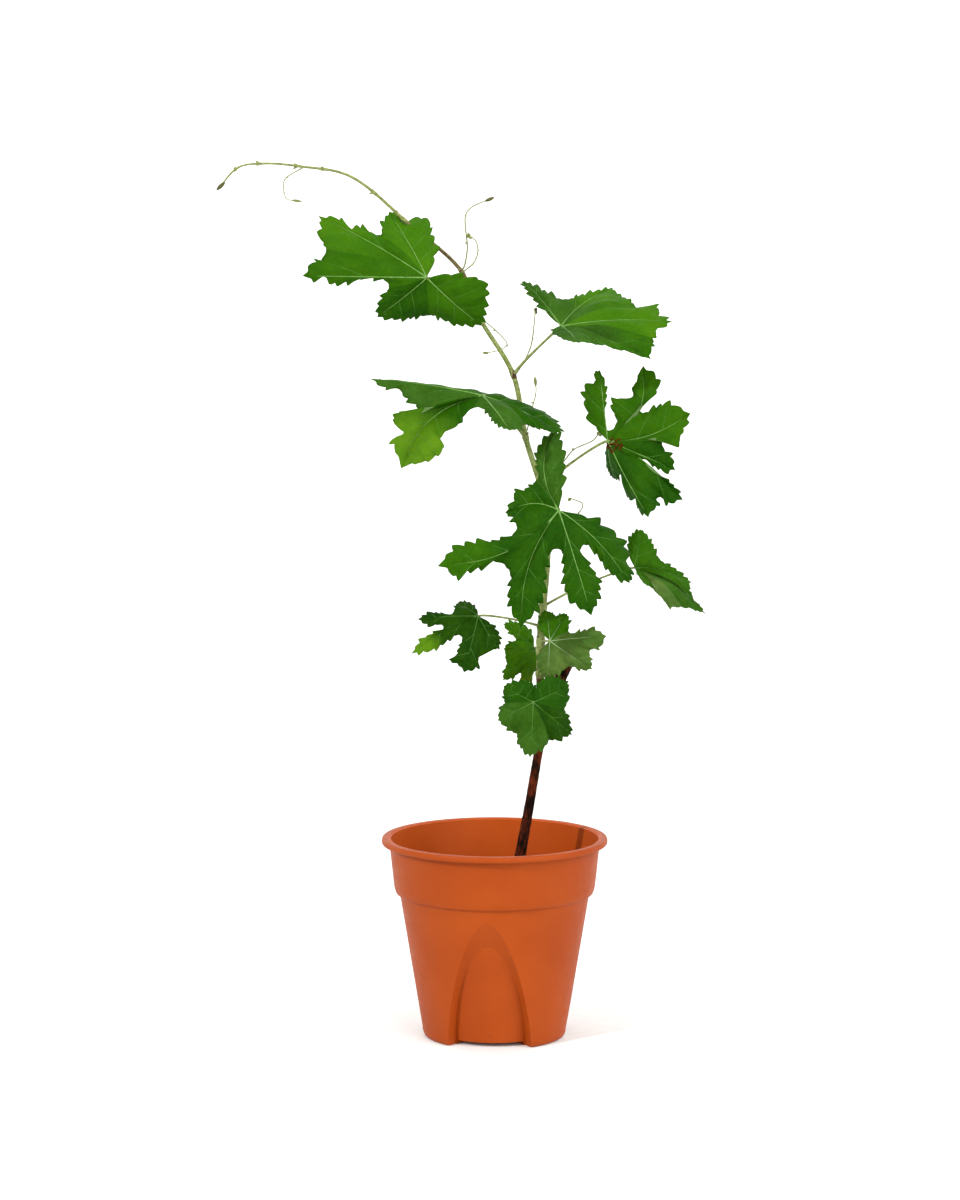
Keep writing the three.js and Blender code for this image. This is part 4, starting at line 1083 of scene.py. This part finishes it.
def make_leaf(leaf):
    """One leaf as its blade, its veins and its stalk; gives the way up from it and its points near the
    hub."""
    hub = np.array(leaf["hub"], float)
    lobes = plan_leaf(leaf)
    large = max(lobe["length"] for lobe in lobes) > LARGE_LEAF
    stoutness = 1.0 if large else SMALL_LEAF_VEINS
    points, faces, kinds, main_ribs, side_ribs, near_hub = [], [], [], [], [], []
    coats = list(skins)
    for number, lobe in enumerate(lobes):
        t = np.linspace(0, MAIN_VEIN["end"], MAIN_VEIN["steps"])
        radii = np.interp(t, MAIN_VEIN["at"], MAIN_VEIN["radii"]) * stoutness
        main_ribs.append(tube(bezier(lobe["vein"], t) + hub, radii, MAIN_VEIN["sides"]))
        tint = leaf["tints"][number]
        # A tint that turns gives the lobe's tip other tones; most of these tips take the painted glow and
        # the painted light skins.
        if isinstance(tint, tuple):
            inner, outer, turns_at = tint
            tip = tuple((hub + lobe["vein"][2]) * MM)
            turning = (tip, TONES[outer], (1 - turns_at) * lobe["length"] * MM)
            name = f"{leaf['name']}_turning_skin_{number}"
            coats.append(leaf_skin(name, TONES[inner], turning=turning))
            tint = len(coats) - 1
        for half in lobe["halves"]:
            teeth = plan_teeth(lobe, half)
            valleys = teeth[0]
            peaks = valleys[:-1] + np.diff(valleys) * TOOTH_LEAN
            m = [valleys[:-1] + np.diff(valleys) * s for s in TOOTH_ROWS]
            m = np.sort(np.concatenate([*m, np.linspace(valleys[-1], 1, TIP_ROWS)]))
            veins_at = np.concatenate([[0], peaks[1::2], [1]])
            wave = random.uniform(*WAVE_STARTS)
            grid = blade_points(lobe, half, m, COLUMNS, teeth, veins_at, wave, hub)
            near_hub.extend(grid[np.linalg.norm(grid - hub, axis=2) < NEAR_HUB])
            rows, columns = grid.shape[:2]
            first = len(points)
            points.extend(grid.reshape(-1, 3))
            for j in range(rows - 1):
                for k in range(columns - 1):
                    a = first + j * columns + k
                    quad = (a, a + columns, a + columns + 1, a + 1)
                    faces.append(quad if half["side"] else quad[::-1])
                    kinds.append(tint)
            for place in veins_at[1:-1]:
                out_to = np.linspace(0, SIDE_VEIN["end"], SIDE_VEIN["steps"])
                rib = blade_points(lobe, half, np.array([place]), out_to, teeth, veins_at, wave, hub)[0]
                radii = np.linspace(*SIDE_VEIN["radii"], SIDE_VEIN["steps"])
                side_ribs.append(tube(rib, radii, SIDE_VEIN["sides"]))
    blade = new_object(leaf["name"] + "_blade", points, faces, [*coats, underside], kinds)
    work = bmesh.new()
    work.from_mesh(blade.data)
    bmesh.ops.remove_doubles(work, verts=work.verts, dist=WELD)
    bmesh.ops.dissolve_degenerate(work, edges=work.edges, dist=SLIVER)
    work.to_mesh(blade.data)
    work.free()
    thick = blade.modifiers.new("thick", "SOLIDIFY")
    thick.thickness = BLADE_THICKNESS * MM
    thick.offset = 0
    thick.material_offset = len(coats)
    shape = bpy.data.meshes.new_from_object(blade.evaluated_get(bpy.context.evaluated_depsgraph_get()))
    blade.modifiers.clear()
    blade.data = shape
    keep(blade, "leaf", leaf["name"])
    vein_skin = pale_vein if leaf["tints"].count(PALE) > 1 else main_vein if large else side_vein
    keep(new_object(leaf["name"] + "_main_veins", *joined(main_ribs), [vein_skin]), "leaf")
    keep(new_object(leaf["name"] + "_side_veins", *joined(side_ribs), [side_vein]), "leaf")
    forward = unit(sum(lobe["vein"][2] for lobe in lobes))
    up = unit(sum(lobe["normal"] for lobe in lobes))
    make_stalk(leaf, hub, forward, up, large)
    return up, near_hub


# The rust specks: small cones sunk into leaf_7's blade, round a place near its hub.
RUST_CENTRE = (4.5, 0, -2.5)
RUST_REACH = 5
RUST_SPECKS = 170
RUST_RADII = (0.4, 0.85)
RUST_LENGTH = 1.3
RUST_SUNK = 0.4
for leaf in LEAVES:
    up, near_hub = make_leaf(leaf)
    if leaf["name"] == "leaf_7":
        centre = np.array(leaf["hub"]) + np.array(RUST_CENTRE)
        spotted = [p for p in near_hub if np.linalg.norm((p - centre)[[0, 2]]) < RUST_REACH]
        picks = [spotted[i] for i in random.integers(0, len(spotted), RUST_SPECKS)]
        specks = [bud(p - up * RUST_SUNK, up, RUST_LENGTH, random.uniform(*RUST_RADII)) for p in picks]
        keep(new_object("leaf_7_rust_specks", *joined(specks), [rust]), "leaf")

# The tendrils: thin threads that the shoot puts out opposite its leaves, with two small buds along each.
# Some end in a small cluster of buds and others in one slender bud, darker on the first and the third.
TENDRILS = [
    [(-20.5, 3.5, 508.5), (-18, 2, 520.5), (-19, -1, 543), (-15, -2, 548), (-2.5, -4, 553.5)],
    [(-21, -1.5, 506), (-13.5, -4, 512.5), (-11, -5, 520.5), (-13, -5, 527), (-17, -5, 529.5)],
    [(12, 5, 437), (19, 8, 447), (23.5, 9, 457), (25, 9, 465), (26.5, 9, 480)],
    [(20, 3, 398.5), (23, 5, 409.5), (25, 6, 419), (27, 6, 427.5), (26.5, 6, 435.5)],
    [(30.5, 6.5, 363), (46, 9, 382.5), (52, 9, 389.5), (65, 8, 396), (68.5, 7, 401)],
    [(34.5, 4, 333.5), (46.5, 8, 340), (54.5, 9, 346.5), (58, 9, 353.5), (50, 8, 357.5)],
    [(-9, 7, 475.5), (4.5, 8, 464), (8, 8, 458.5), (3.5, 8, 455), (-6, 8, 453)],
    [(-124, -16, 573.5), (-135.5, -14, 566), (-136.5, -13, 559.5), (-134.5, -13, 553.5), (-127, -13, 552)],
]
TENDRIL_RADII = [0.55, 0.5, 0.55, 0.5, 0.55, 0.5, 0.45, 0.42]
TENDRIL_BUDS = [1, 4, 2, 1, 4, 3, 2, 1]
DARK_BUDDED = (1, 3)
THREAD_STEPS = 80
THREAD_SIDES = 8
THREAD_AT = (0, 0.1, 1)
THREAD_TAPER = (1.3, 1.0, 0.75)
END_BUD = {"length": 6.5, "overlap": 4}
CLUSTER_LENGTHS = (2, 3.2)
END_FATNESS = 2.2
BENDS = (26, 50)
BEND_BUD = {"length": 1.8, "fatness": 1.3, "spread": 0.6}
tendril_skin = stem_material("tendril_skin", "#5E6932", "#82895A")
for number, (path, radius, buds) in enumerate(zip(TENDRILS, TENDRIL_RADII, TENDRIL_BUDS), 1):
    start = shoot_points[np.argmin(np.linalg.norm(shoot_points - np.array(path[0]), axis=1))]
    line, _ = smooth_path([start, *path], THREAD_STEPS)
    radii = np.interp(np.linspace(0, 1, THREAD_STEPS), THREAD_AT, THREAD_TAPER) * radius
    shapes = [tube(line, radii, THREAD_SIDES)]
    ends = []
    bud_skin = dark_bud if number in DARK_BUDDED else olive_stem
    if buds == 1:
        way = line[-1] - line[-4]
        start = line[-1] - unit(way) * END_BUD["overlap"]
        ends.append(bud(start, way, END_BUD["length"], END_FATNESS * radius))
    else:
        for _ in range(buds):
            way = random.normal(size=3)
            ends.append(bud(line[-1], way, random.uniform(*CLUSTER_LENGTHS), END_FATNESS * radius))
    for bend in BENDS:
        way = unit(line[bend + 1] - line[bend]) + random.normal(0, BEND_BUD["spread"], 3)
        shapes.append(bud(line[bend], way, BEND_BUD["length"], BEND_BUD["fatness"] * radius))
    keep(new_object(f"tendril_{number}_buds", *joined(ends), [bud_skin]), "tendril")
    thread = new_object(f"tendril_{number}_thread", *joined(shapes), [tendril_skin])
    keep(thread, "tendril", f"tendril_{number}")
